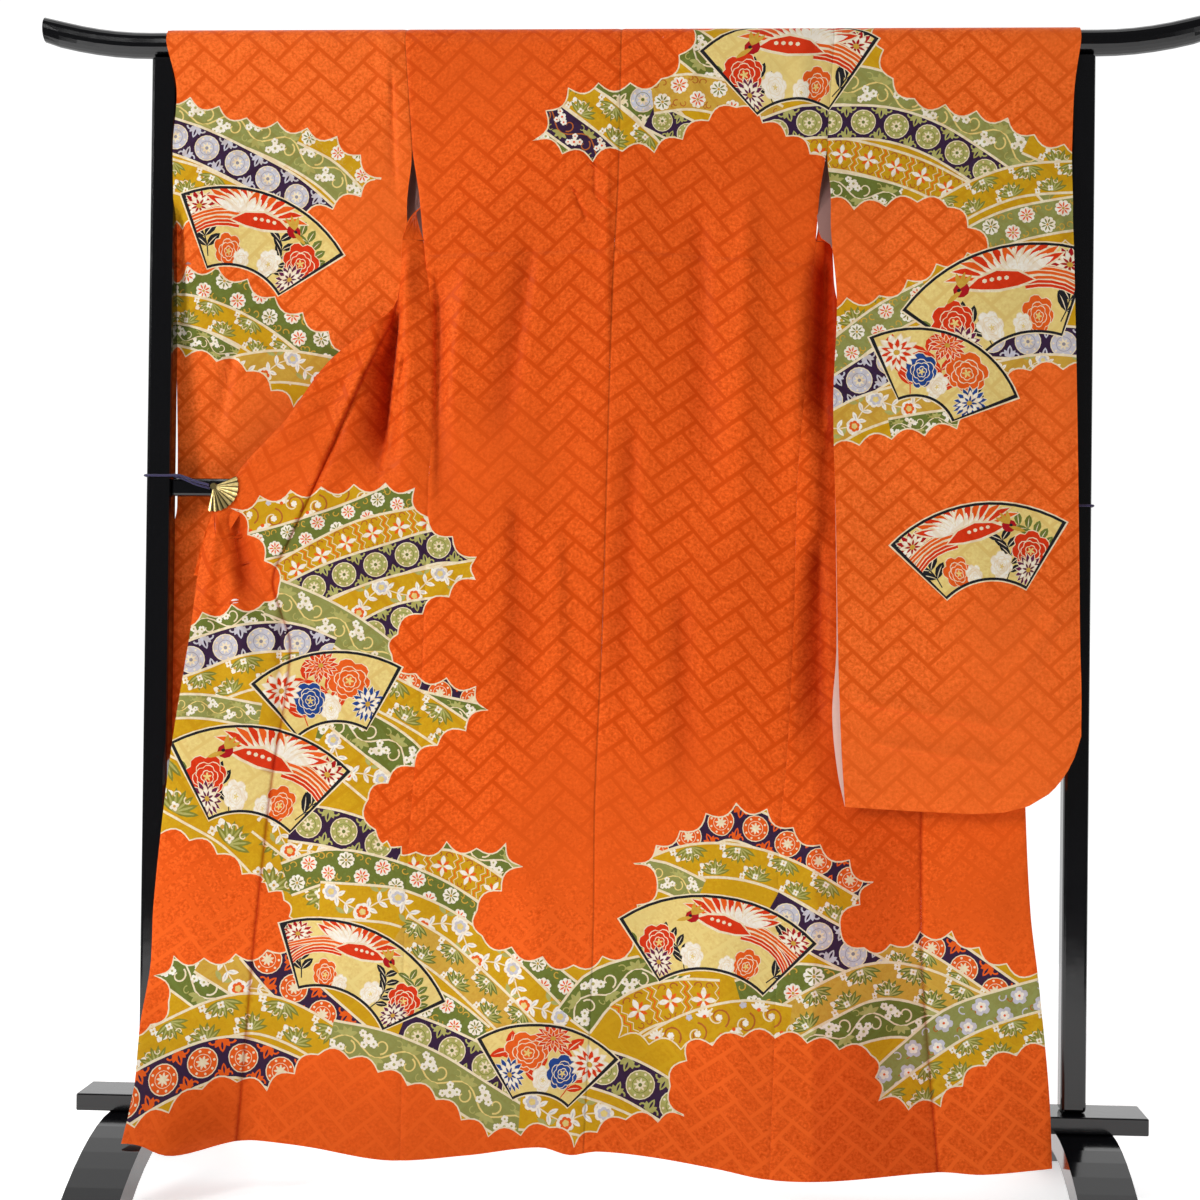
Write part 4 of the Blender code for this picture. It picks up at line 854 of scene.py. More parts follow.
def sleeve_wall(near_table, far_table, seam, far):
    """A hanging function for one wall of a sleeve, closed at the foot and below the wrist."""
    table = far_table if far else near_table
    side = 1 if far else -1

    def hang(across, height):
        level = level_at(SLEEVE_END, across, height)
        depth = smooth(table, level, 3)
        middle = (smooth(near_table, level, 3) + smooth(far_table, level, 3)) / 2
        wrist = 1.0 - ease(np.abs(smooth(table, level, 1) - across) / SLEEVE_SEAM_REACH)
        wrist *= ease((WRIST_OPENING_FOOT - level) / 0.040)
        foot = 1.0 - ease((level - SLEEVE_BASE) / SLEEVE_SEAM_REACH)
        share = np.maximum(wrist, foot)
        folds = fold_rise(SLEEVE_FOLDS + SHOULDER_RIPPLES, across, height) * (-0.5 if far else 1.0)
        folds += gather_rise(across, height, SLEEVE_GATHERS) * (0.0 if far else 1.0)
        rise = folds * (1.0 - share) - seam_dip(across - straight(seam, level)) * (level > ARMHOLE_FOOT)
        depth = depth + share * (middle + side * 0.00105 - depth)
        return round_the_bar(across, height, depth, rise, side)

    return hang


print("waist tuck crosses the back at", WAIST_TUCK[1][1], "m")

# %% [markdown]
# ## Cutting a sheet with its painting let in
# A furisode is painted before it is sewn, so a cloud or a fan runs on from one piece of silk to
# the next. The same is done here: the design is drawn once, flat, for the whole back, and each
# piece of silk cuts its own part out of it. The tool for that is a constrained triangulation,
# which lays the outline of the piece, an even net of points and the outline of every painted
# shape together, so that each triangle lies in a known stack of shapes and takes the colour of
# the top one. The outside is hung half a thickness out. The inside is a plainer net, cut from
# the same edge without the painted lines, hung half a thickness in, and a rim joins the two to
# a wall of 1.6 mm, the outside in figured silk and the inside in plain lining.
# Shapes too small to see are left out: under 3.2 square millimetres, or on a sleeve's far wall,
# which no one sees from the front, under 60.

# %% Sheets of cloth
CLOTH_THICKNESS = 0.0016
NET_PITCH = 0.0095
NET_CLEAR = 0.0085
NET_START = 0.3
NET_STAGGER = 0.25
EDGE_ROWS = (0.0018, 0.0042, 0.0080)
EDGE_PITCH = 0.010
ROW_PITCH = 0.009
CREASE_PITCH = 0.0065
CREASE_ROWS = (-1.4, -0.95, -0.6, -0.3, 0.0, 0.3, 0.6, 0.95, 1.4)
TUCK_PITCH = 0.008
TUCK_ROWS = (-0.030, -0.018, -0.006, -0.002, 0.0, 0.002, 0.004, 0.006)
SAME_PLACE = 1e-6
GROUND = "#E65B1C"
# the sleeves are the same silk as the body; their ground is painted lighter, as painted light
SLEEVE_GROUND_PAINTED_LIGHTER = "#EF6927"
UNPAINTED, PAINTED = 1.0, 0.0
LEAST_SHAPE = 3.2e-6
LEAST_BEHIND = 6.0e-5

painting = {"body": [], "left sleeve": [], "right sleeve": []}


def area_of(outline):
    """The area inside a closed line, negative if the line runs clockwise."""
    across, up = outline.T
    return 0.5 * np.sum(across * np.roll(up, -1) - up * np.roll(across, -1))


def lay(layer, points, colour, masks=()):
    """Lay one painted shape on a layer, clipped to the shapes named in masks; give its number."""
    points = np.asarray(points, dtype=float)
    if area_of(points) < 0:
        points = points[::-1]
    painting[layer].append((points, (*linear(colour), PAINTED), tuple(masks)))
    return len(painting[layer]) - 1


def inside(points, outline):
    """Which points lie inside a closed line."""
    found = np.zeros(len(points), dtype=bool)
    for (ax, ay), (bx, by) in zip(outline, np.roll(outline, -1, axis=0)):
        if ay != by:
            crosses = (ay > points[:, 1]) != (by > points[:, 1])
            found ^= crosses & (points[:, 0] < (bx - ax) * (points[:, 1] - ay) / (by - ay) + ax)
    return found


def beside(run):
    """The direction to the left of each step of a line."""
    off = np.stack([-run[:, 1], run[:, 0]], axis=-1)
    return off / np.maximum(np.linalg.norm(run, axis=1), 1e-9)[:, None]


def round_run(outline):
    """The run of a closed line at each of its points."""
    return np.roll(outline, -1, axis=0) - np.roll(outline, 1, axis=0)


def net_inside(outline, pitch):
    """An even net of points inside an outline, with closer rows beside its edge."""
    rows = np.concatenate([outline + beside(round_run(outline)) * reach for reach in EDGE_ROWS])
    low, high = outline.min(axis=0), outline.max(axis=0)
    across = np.arange(low[0] + NET_START * pitch, high[0], pitch)
    up = np.arange(low[1] + NET_START * pitch, high[1], pitch)
    net = np.stack(np.meshgrid(across, up), axis=-1).reshape(-1, 2)
    net[:, 0] += NET_STAGGER * pitch * np.sign(np.sin(net[:, 1] / pitch * math.pi + 0.1))
    far = np.full(len(net), np.inf)
    for point in outline:
        far = np.minimum(far, np.abs(net - point).max(axis=1))
    return np.concatenate([net[inside(net, outline) & (far > NET_CLEAR)], rows[inside(rows, outline)]])


def crease_rows(gathers):
    """Points along the sharp creases, so that the net can bend there."""
    rows = []
    for top_x, top_z, foot_x, foot_z, left_width, right_width, _ in gathers:
        run = np.array((foot_x - top_x, foot_z - top_z))
        length = np.linalg.norm(run)
        share = np.arange(0.0, 1.0, CREASE_PITCH / length)[:, None]
        leftward = np.array((run[1], -run[0])) / length
        for reach in CREASE_ROWS:
            width = (left_width if reach > 0 else right_width) * opened(share)
            rows.append(np.array((top_x, top_z)) + run * share + leftward * reach * width)
    across = np.arange(WAIST_TUCK[0][0], WAIST_TUCK[-1][0], TUCK_PITCH)
    for above in TUCK_ROWS:
        rows.append(np.stack([across, straight(WAIST_TUCK, across) + above], axis=-1))
    return np.concatenate(rows)


def cut_flat(outline, shapes, extra):
    """Triangulate a flat piece with the lines of its painted shapes let in."""
    places, faces = [], []
    for line in [outline] + [shape[0] for shape in shapes]:
        faces.append(list(range(len(places), len(places) + len(line))))
        places += [Vector(point) for point in line]
    for more in (net_inside(outline, NET_PITCH), extra[inside(extra, outline)]):
        places += [Vector(point) for point in more]
    found, _, triangles, *_ = delaunay_2d_cdt(places, [], faces, 1, SAME_PLACE, True)
    found, triangles = np.array(found), np.array(triangles)
    triangles = triangles[inside(found[triangles].mean(axis=1), outline)]
    used, renumbered = np.unique(triangles, return_inverse=True)
    return found[used], renumbered.reshape(-1, 3)


def painted(centres, shapes, ground):
    """The colour at each centre: that of the last shape laid there with all its masks."""
    colours = np.tile(ground, (len(centres), 1))
    by_height = np.argsort(centres[:, 1])
    heights = centres[by_height, 1]
    wanted = {mask for _, _, masks in shapes for mask in masks}
    members = {}
    for number, (points, colour, masks) in enumerate(shapes):
        low, high = points.min(axis=0), points.max(axis=0)
        near = by_height[np.searchsorted(heights, low[1]):np.searchsorted(heights, high[1])]
        near = near[(centres[near, 0] > low[0]) & (centres[near, 0] < high[0])]
        near = near[inside(centres[near], points)]
        if number in wanted:
            members[number] = np.zeros(len(centres), dtype=bool)
            members[number][near] = True
        for mask in masks:
            near = near[members[mask][near]]
        colours[near] = colour
    return colours


def shapes_for(layer, outline, least):
    """The painted shapes of at least an area that touch a piece, with their masks renumbered."""
    low, high = outline.min(axis=0), outline.max(axis=0)
    kept, number = [], {}
    for index, (points, colour, masks) in enumerate(painting.get(layer, ())):
        touches = (points.max(axis=0) > low).all() and (points.min(axis=0) < high).all()
        if touches and area_of(points) > least and all(mask in number for mask in masks):
            number[index] = len(kept)
            kept.append((points, colour, tuple(number[mask] for mask in masks)))
    return kept


def rim_loop(triangles):
    """The closed line of points round a piece."""
    edges = {}
    for a, b, c in triangles.tolist():
        for edge in ((a, b), (b, c), (c, a)):
            edges[edge] = True
    after = {a: b for a, b in edges if (b, a) not in edges}
    start = next(iter(after))
    loop = [start]
    while after[loop[-1]] != start:
        loop.append(after[loop[-1]])
    return loop


def hung_points(points, hang, flip):
    """Hang flat points, and find which way the outside faces at each of them."""
    x, h = points.T
    small = 0.0008
    across = hang(x + small, h) - hang(x - small, h)
    upward = hang(x, h + small) - hang(x, h - small)
    out = np.cross(across, upward) * (-1.0 if flip else 1.0)
    return hang(x, h), out / np.linalg.norm(out, axis=1)[:, None]


print("sheets are", CLOTH_THICKNESS * 1000, "mm thick, with a net of", NET_PITCH * 1000, "mm")

# %% Making one piece of cloth
class Wall:
    """The corners and faces of one piece of silk, with what each of them carries."""

    def __init__(self):
        self.corners, self.weaves, self.painted_shades = [], [], []
        self.faces, self.colours, self.finishes, self.joined = [], [], [], []

    def build(self, name, inner):
        """Make the mesh, with its painting, its weave map and its painted shade."""
        mesh = bpy.data.meshes.new(name)
        mesh.from_pydata([tuple(corner) for corner in self.corners], [], self.faces)
        counts = [len(face) for face in self.faces]
        paint = mesh.color_attributes.new("paint", 'BYTE_COLOR', 'CORNER')
        weave = mesh.uv_layers.new(name="weave")
        painted_shade = mesh.attributes.new("painted_shade", 'FLOAT', 'POINT')
        paint.data.foreach_set("color", np.repeat(np.array(self.colours), counts, axis=0).ravel())
        weave.data.foreach_set("uv", np.concatenate(self.weaves)[np.concatenate(self.faces)].ravel())
        painted_shade.data.foreach_set("value", np.concatenate(self.painted_shades))
        mesh.polygons.foreach_set("material_index", self.finishes)
        for finish in (silk, inner, silk):
            mesh.materials.append(finish.material)
        if self.joined:
            shape = bmesh.new()
            shape.from_mesh(mesh)
            shape.verts.ensure_lookup_table()
            at_join = [shape.verts[index] for index in self.joined]
            bmesh.ops.remove_doubles(shape, verts=at_join, dist=0.0007)
            shape.to_mesh(mesh)
            shape.free()
        mesh.shade_smooth()
        mesh.set_sharp_from_angle(angle=math.radians(50.0))
        piece = bpy.data.objects.new(name, mesh)
        bpy.context.collection.objects.link(piece)
        return piece


def make_cloth(node, cuts, inner=lining, ground=GROUND, painted_shade=painted_shade_of):
    """Cut, hang and close one piece; each cut is (outline, hanging, weave, layer, flip, join)."""
    wall, flat_area = Wall(), 0.0
    plain = (*linear(ground), UNPAINTED)
    for outline, hang, weave, layer, flip, join in cuts:
        shapes = shapes_for(layer, outline, LEAST_BEHIND if "far" in node else LEAST_SHAPE)
        creases = crease_rows(GATHERS if layer == "body" else SLEEVE_GATHERS)
        points, triangles = cut_flat(outline, shapes, creases)
        loop = rim_loop(triangles)
        under, under_triangles = cut_flat(points[loop], [], creases)
        beneath = {index: int(np.argmin(((under - points[index]) ** 2).sum(axis=1))) for index in loop}
        flat_area += abs(area_of(outline))
        shown = layer == "body" and not (flip and node == "front_left")
        first, second = len(wall.corners), len(wall.corners) + len(points)
        for flat, side in ((points, 0.5), (under, -0.5)):
            middle, out = hung_points(flat, hang, flip)
            wall.corners += (middle + out * CLOTH_THICKNESS * side).tolist()
            wall.weaves.append(np.stack(weave(flat[:, 0], flat[:, 1]), axis=-1))
        # painted shade for the outside of the body's shown pieces
        wall.painted_shades += [painted_shade(*points.T) if shown else np.zeros(len(points)), np.zeros(len(under))]
        wall.faces += ((triangles[:, ::-1] if flip else triangles) + first).tolist()
        wall.faces += ((under_triangles if flip else under_triangles[:, ::-1]) + second).tolist()
        wall.colours += list(painted(points[triangles].mean(axis=1), shapes, plain))
        wall.colours += [plain] * len(under_triangles)
        wall.finishes += [0] * len(triangles) + [1] * len(under_triangles)
        at_join = [a for a in loop if join is not None and abs(points[a][1] - join) < SAME_PLACE]
        for a, b in zip(loop, loop[1:] + loop[:1]):
            if a in at_join and b in at_join:
                continue
            face = [first + b, first + a, second + beneath[a], second + beneath[b]]
            face = face[:3] if beneath[a] == beneath[b] else face
            wall.faces.append(face[::-1] if flip else face)
            wall.colours.append(plain)
            wall.finishes.append(2)
        wall.joined += [first + a for a in at_join] + [second + beneath[a] for a in at_join]
    piece = wall.build("silk_" + node, inner)
    long = sum(outline[:, 1].max() - outline[:, 1].min() for outline, *_ in cuts)
    wide = min(max(outline[:, 0].max() - outline[:, 0].min() for outline, *_ in cuts),
               1.25 * flat_area / long)
    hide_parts(node)
    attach(piece, "root")
    print(piece.name, len(piece.data.polygons), "faces,", round(flat_area, 3), "square metres")


def strip_outline(low, high, ends, inward=1, foot=None):
    """The outline of a strip between its outer and its inner edge, from its lower left corner."""
    left, right = ends if inward > 0 else ends[::-1]
    count = max(int(round((high - low) / EDGE_PITCH)), 1)
    levels = np.linspace(low, high, count + 1)

    def row(level):
        start, end = float(left(level)), float(right(level))
        return np.linspace(start, end, max(int(round((end - start) / ROW_PITCH)), 2) + 1)

    line = [(across, low) for across in row(low)]
    line += [(float(right(level)), level) for level in levels[1:-1]]
    line += [(across, high) for across in row(high)[::-1]]
    line += [(float(left(level)), level) for level in levels[-2:0:-1]]
    return np.array([(across, level + (lift(foot, across, level) if foot else 0.0))
                     for across, level in line])


print("ready to cut cloth")

# %% [markdown]
# ## The painted design
# The design is yuzen dyeing: each line is drawn in resist paste and stays cream, and the fields
# between are brushed with dye. Its parts are the usual ones of formal kimono: clouds with a
# scalloped edge, filled with slanting bands of traditional ornament, and opened fans strewn over
# them. The layout tables give only where a cloud, a band or a fan lies, at points read in the
# photo, in its 1200 pixels across and down. The camera turns them into places on the cloth,
# so the design keeps the scale and the rhythm of the cloth. All motifs are the script's own,
# built from petals, leaves, curls and rings, and the pictures in the fans are a plain
# long-tailed bird with flowers.

# %% Layout of clouds, bands and fans
CLOUDS = (
    # layer, name, and a line round the cloud in photo pixels, by column and row
    ("left sleeve", "sleeve top", (
        (160, 96), (205, 100), (240, 118), (290, 124), (345, 140), (384, 182), (352, 202), (318, 214),
        (270, 222), (225, 222), (160, 230))),
    ("left sleeve", "sleeve middle", (
        (160, 282), (198, 262), (240, 275), (272, 296), (300, 312), (325, 330), (352, 352), (356, 380),
        (330, 396), (284, 408), (266, 382), (236, 364), (160, 352))),
    ("body", "back shoulder", (
        (534, 140), (548, 108), (574, 84), (640, 84), (668, 78), (684, 48), (700, 14), (905, 14),
        (905, 240), (860, 212), (838, 190), (828, 160), (792, 146), (780, 122), (758, 122), (735, 106),
        (708, 120), (692, 132), (662, 152), (624, 150), (588, 162), (560, 152))),
    ("right sleeve", "sleeve shoulder", (
        (780, 14), (878, 26), (886, 70), (905, 98), (960, 108), (1012, 120), (1040, 140), (1095, 152),
        (1095, 262), (1000, 262), (972, 236), (962, 212), (930, 200), (884, 206), (846, 210),
        (826, 200), (780, 190))),
    ("right sleeve", "sleeve middle", (
        (815, 306), (850, 298), (884, 296), (915, 276), (950, 258), (1000, 246), (1095, 238),
        (1095, 372), (1042, 366), (1008, 376), (975, 420), (944, 434), (902, 436), (862, 444),
        (815, 456))),
    ("body", "left upper", (
        (230, 508), (268, 494), (303, 490), (366, 484), (412, 484), (428, 520), (456, 540), (488, 568),
        (464, 588), (430, 606), (404, 628), (382, 646), (408, 672), (430, 680), (462, 678), (492, 698),
        (482, 722), (448, 738), (424, 752), (406, 776), (366, 790), (376, 834), (410, 852), (436, 900),
        (380, 940), (300, 912), (286, 900), (258, 886), (236, 868), (204, 842), (140, 830), (140, 630),
        (192, 622), (210, 608), (244, 604), (282, 602), (278, 580), (256, 546))),
    ("body", "hem left", (
        (262, 850), (376, 836), (412, 854), (448, 842), (474, 850), (502, 840), (526, 862), (504, 888),
        (474, 912), (474, 934), (508, 946), (548, 958), (582, 968), (612, 952), (640, 946), (700, 980),
        (700, 1048), (684, 1062), (668, 1084), (686, 1120), (652, 1122), (622, 1118), (596, 1132),
        (584, 1150), (566, 1144), (548, 1124), (526, 1134), (484, 1136), (460, 1118), (430, 1094),
        (392, 1078), (352, 1058), (316, 1054), (282, 1084), (262, 1092), (240, 1080), (206, 1084),
        (174, 1106), (120, 1122), (120, 1030), (142, 1032), (172, 1010), (170, 990), (152, 972),
        (174, 956), (192, 962), (214, 956), (258, 954), (296, 942), (282, 922), (300, 908),
        (262, 890))),
    ("body", "hem right", (
        (634, 864), (646, 846), (672, 846), (684, 826), (722, 806), (750, 802), (780, 816), (800, 836),
        (848, 860), (878, 888), (856, 906), (838, 930), (874, 956), (900, 940), (934, 928), (968, 936),
        (988, 958), (1056, 980), (1060, 1046), (1030, 1050), (988, 1062), (963, 1080), (960, 1096),
        (932, 1110), (890, 1108), (866, 1090), (882, 1070), (880, 1056), (820, 1044), (784, 1038),
        (748, 1034), (690, 1050), (620, 1040), (600, 980), (636, 948), (622, 920), (660, 886))),
)
BANDS = (
    # cloud, ornament and ground, width and middle line in photo pixels
    ("sleeve top", "vine sage", 40, ((160, 112), (220, 120), (280, 142), (330, 172), (372, 214))),
    ("sleeve top", "florets mustard", 34, ((305, 128), (345, 150), (385, 190))),
    ("sleeve top", "roundels silver", 37, ((160, 132), (200, 145), (245, 167), (290, 192), (325, 222))),
    ("sleeve top", "tufts mustard", 34, ((160, 172), (200, 184), (245, 206))),
    ("sleeve middle", "florets green", 37, ((160, 280), (215, 286), (265, 306), (310, 338),
     (350, 375))),
    ("sleeve middle", "tufts mustard", 33, ((160, 306), (205, 314), (250, 334), (300, 372))),
    ("sleeve middle", "vine green", 24, ((160, 330), (200, 340), (235, 358))),
    ("sleeve middle", "sprays gold", 34, ((225, 374), (280, 366), (345, 376))),
    ("back shoulder", "vine green", 34, ((520, 120), (550, 150), (590, 180))),
    ("back shoulder", "vine purple", 33, ((535, 105), (565, 127), (615, 163))),
    ("back shoulder", "tufts mustard", 36, ((562, 84), (605, 116), (655, 160))),
    ("back shoulder", "roundels leaf", 38, ((600, 70), (645, 102), (690, 150))),
    ("back shoulder", "roundels olive", 30, ((650, 115), (690, 135), (720, 150))),
    ("back shoulder", "vine green", 40, ((670, 30), (710, 62), (750, 98))),
    ("back shoulder", "florets gold", 37, ((652, 96), (690, 92), (730, 100), (775, 122))),
    ("back shoulder", "roundels olive", 37, ((760, 138), (800, 124), (839, 122), (887, 124))),
    ("back shoulder", "crosses mustard", 34, ((780, 160), (812, 154), (837, 154), (874, 161))),
    ("sleeve shoulder", "vine sage", 42, ((800, 86), (860, 86), (920, 106), (975, 128), (1020, 152),
     (1060, 190))),
    ("sleeve shoulder", "tufts mustard", 40, ((1030, 136), (1060, 150), (1095, 166))),
    ("sleeve shoulder", "vine green", 36, ((820, 186), (850, 190), (900, 202))),
    ("sleeve shoulder", "crosses mustard", 35, ((800, 152), (837, 154), (874, 161), (920, 176),
     (966, 200))),
    ("sleeve shoulder", "roundels olive", 36, ((780, 126), (839, 122), (887, 124), (932, 139),
     (976, 165), (1012, 190))),
    ("sleeve shoulder", "florets sage", 36, ((940, 268), (985, 237), (1025, 222), (1095, 210))),
    ("sleeve shoulder", "tufts mustard", 34, ((940, 216), (985, 192), (1025, 180), (1095, 176))),
    ("sleeve middle", "tufts mustard", 40, ((815, 320), (860, 306), (905, 292))),
    ("sleeve middle", "florets sage", 34, ((815, 378), (850, 346), (890, 316), (930, 296))),
    ("sleeve middle", "roundels silver", 38, ((815, 410), (850, 386), (885, 364), (930, 342),
     (1000, 340), (1095, 346))),
    ("sleeve middle", "sprays gold", 34, ((815, 440), (860, 414), (910, 400), (960, 402))),
    ("sleeve middle", "vine green", 24, ((890, 430), (925, 424), (960, 420))),
    ("sleeve middle", "sprays gold", 26, ((990, 376), (1040, 366), (1095, 370))),
    ("left upper", "arabesque mustard", 36, ((215, 522), (265, 516), (330, 498), (420, 484))),
    ("left upper", "florets green", 32, ((235, 552), (290, 538), (350, 518), (420, 488))),
    ("left upper", "crosses mustard", 36, ((262, 592), (310, 562), (365, 536), (430, 522))),
    ("left upper", "roundels olive", 36, ((270, 610), (330, 580), (390, 560), (440, 546), (490, 550))),
    ("left upper", "sprays mustard", 34, ((320, 622), (370, 600), (420, 586), (490, 574))),
    ("left upper", "roundels olive", 34, ((360, 640), (400, 620), (450, 612))),
    ("left upper", "vine green", 36, ((140, 640), (190, 628), (240, 618), (290, 618))),
    ("left upper", "vine sage", 40, ((270, 596), (310, 612), (350, 634), (395, 668))),
    ("left upper", "roundels silver", 40, ((140, 680), (190, 660), (240, 644), (290, 642), (330, 656))),
    ("left upper", "tufts mustard", 38, ((150, 706), (200, 690), (250, 672), (300, 668))),
    ("left upper", "vine sage", 26, ((150, 708), (200, 706), (260, 716))),
    ("left upper", "roundels orange", 36, ((395, 672), (430, 690), (500, 704))),
    ("left upper", "vine green", 30, ((400, 700), (450, 712), (500, 722))),
    ("left upper", "tufts mustard", 40, ((380, 690), (420, 712), (465, 742))),
    ("left upper", "vine green", 42, ((320, 720), (360, 730), (400, 756), (430, 790))),
    ("left upper", "sprays mustard", 36, ((320, 740), (355, 768), (395, 802))),
    ("left upper", "tufts mustard", 54, ((140, 770), (190, 796), (240, 826), (290, 880), (330, 940))),
    ("left upper", "sprays mustard", 36, ((262, 818), (300, 848), (350, 880))),
    ("left upper", "roundels olive", 40, ((290, 822), (340, 830), (390, 850), (440, 884))),
    ("hem left", "vine green", 40, ((440, 830), (490, 858), (540, 900))),
    ("hem left", "crosses mustard", 36, ((400, 868), (450, 868), (500, 896), (540, 930))),
    ("hem left", "florets green", 36, ((286, 880), (330, 866), (380, 874), (440, 898), (500, 940),
     (560, 990), (600, 1020))),
    ("hem left", "sprays mustard", 38, ((320, 900), (360, 902), (400, 908), (450, 932), (510, 978),
     (560, 1030))),
    ("hem left", "tufts gold", 36, ((400, 930), (440, 956), (490, 1000), (530, 1040))),
    ("hem left", "vine green", 44, ((165, 960), (195, 980), (235, 1010))),
    ("hem left", "sprays gold", 40, ((205, 955), (250, 985), (300, 1030))),
    ("hem left", "roundels orange", 42, ((255, 945), (290, 985), (340, 1030), (370, 1056))),
    ("hem left", "tufts mustard", 42, ((120, 1064), (170, 1040), (220, 1018), (260, 1014), (310, 1034),
     (360, 1068))),
    ("hem left", "roundels orange", 42, ((120, 1104), (170, 1074), (230, 1056), (280, 1072),
     (330, 1096))),
    ("hem left", "florets green", 34, ((420, 1000), (450, 1016), (480, 1040))),
    ("hem left", "roundels olive", 40, ((400, 1030), (440, 1046), (490, 1070), (530, 1100))),
    ("hem left", "vine sage", 42, ((330, 1040), (380, 1050), (430, 1072), (490, 1108), (560, 1150))),
    ("hem left", "vine green", 42, ((574, 1020), (600, 990), (650, 976), (720, 978))),
    ("hem left", "roundels olive", 42, ((585, 1064), (630, 1080), (700, 1122))),
    ("hem left", "sprays mustard", 40, ((520, 1110), (580, 1116), (640, 1140))),
    ("hem right", "crosses mustard", 42, ((598, 1040), (640, 1010), (680, 1000), (720, 1000))),
    ("hem right", "roundels orange", 38, ((640, 858), (690, 836), (730, 822), (780, 840), (840, 874),
     (880, 900))),
    ("hem right", "tufts mustard", 36, ((640, 880), (690, 862), (740, 862), (790, 878), (850, 912))),
    ("hem right", "vine sage", 30, ((620, 872), (660, 876), (700, 894))),
    ("hem right", "roundels silver", 40, ((770, 908), (820, 936), (870, 962), (900, 980))),
    ("hem right", "florets green", 42, ((740, 1000), (800, 984), (850, 992))),
    ("hem right", "roundels orange", 40, ((915, 938), (960, 966), (1010, 1002))),
    ("hem right", "tufts gold", 30, ((880, 940), (930, 970), (990, 1010))),
    ("hem right", "vine green", 40, ((800, 1050), (850, 1026), (900, 1018), (960, 1030))),
    ("hem right", "tufts gold", 38, ((770, 1034), (820, 1004), (870, 982), (920, 986), (975, 1010))),
    ("hem right", "arabesque mustard", 38, ((640, 1060), (690, 1032), (740, 1018), (790, 1024))),
    ("hem right", "plums sage", 38, ((868, 1100), (910, 1062), (960, 1022), (1060, 992))),
    ("hem right", "tufts mustard", 36, ((890, 1112), (935, 1078), (990, 1044), (1060, 1024))),
)
FANS = (
    # layer, picture, which way the bird flies, and the corners of the leaf in photo pixels:
    # outer left, outer right, inner left and inner right
    ("left sleeve", "bird", 1, ((181, 193), (346, 256), (205, 268), (274, 296))),
    ("body", "bird", -1, ((697, 52), (880, 38), (759, 114), (830, 113))),
    ("right sleeve", "bird", -1, ((697, 52), (880, 38), (759, 114), (830, 113))),
    ("right sleeve", "bird", -1, ((900, 311), (1092, 250), (976, 365), (1060, 338))),
    ("right sleeve", "flowers", 1, ((867, 337), (1019, 397), (900, 401), (952, 423))),
    ("right sleeve", "bird", 1, ((888, 546), (1068, 522), (946, 600), (1026, 591))),
    ("body", "flowers", 1, ((250, 684), (406, 668), (300, 742), (369, 729))),
    ("body", "bird", -1, ((168, 742), (352, 770), (206, 820), (286, 834))),
    ("body", "bird", 1, ((279, 922), (447, 1003), (311, 997), (395, 1036))),
    ("body", "flowers", -1, ((474, 1039), (621, 1061), (518, 1099), (572, 1111))),
    ("body", "bird", -1, ((617, 918), (820, 944), (670, 991), (774, 991))),
)
PHOTO_SCALE = 1.457
DESIGN_LIES_ON = {"body": (BACK_DEPTH, 1), "left sleeve": (SLEEVE_LEFT_NEAR, 3),
                  "right sleeve": (SLEEVE_RIGHT_NEAR, 3)}


def on_cloth(layer, pixels):
    """The flat places that pixels of the photo show on a layer, in whole millimetres."""
    table, depth_column = DESIGN_LIES_ON[layer]
    places = []
    for column, row in pixels:
        depth = -0.03
        for _ in range(4):
            across, up = photo_place(column, row, depth)
            depth = float(straight(table, up, depth_column))
        if up > BAR_CENTRE:
            up = BAR_CENTRE + ROUND_BAR * math.asin(min((up - BAR_CENTRE) / ROUND_BAR, 1.0))
        places.append((round(across * 1000), round(up * 1000)))
    return np.array(places, dtype=float)


print(len(CLOUDS), "clouds,", len(BANDS), "bands,", len(FANS), "fans")

# %% Dyes
CREAM = "#E9D8B6"
PURPLE = "#35233F"
SILVER = "#C4C0C8"
GREY = "#8E8A94"
OLIVE = "#7F8034"
OLIVE_LIGHT = "#ACA862"
GREEN = "#6A7534"
SAGE = "#8E9050"
MUSTARD = "#CA9A1A"
GOLD = "#CA9F3E"
PALE_GOLD = "#E3C97C"
RED = "#D43617"
DEEP_RED = "#A81820"
ORANGE = "#E25C1E"
BLUE = "#1F4488"
INK = "#1E2228"
WHITE = "#EFE6D6"
PLUM = "#642048"
BROWN = "#B0602A"
GROUNDS = {"silver": PURPLE, "olive": PURPLE, "orange": PURPLE, "leaf": GREEN, "mustard": MUSTARD,
           "gold": GOLD, "sage": SAGE, "green": GREEN, "purple": PURPLE}
ROUNDEL_TONES = {"silver": (SILVER, GREY, SILVER), "olive": (OLIVE_LIGHT, GREEN, OLIVE_LIGHT),
                 "orange": (ORANGE, CREAM, ORANGE), "leaf": (SILVER, GREEN, CREAM)}
print("dyes chosen for", len(GROUNDS), "kinds of ground")

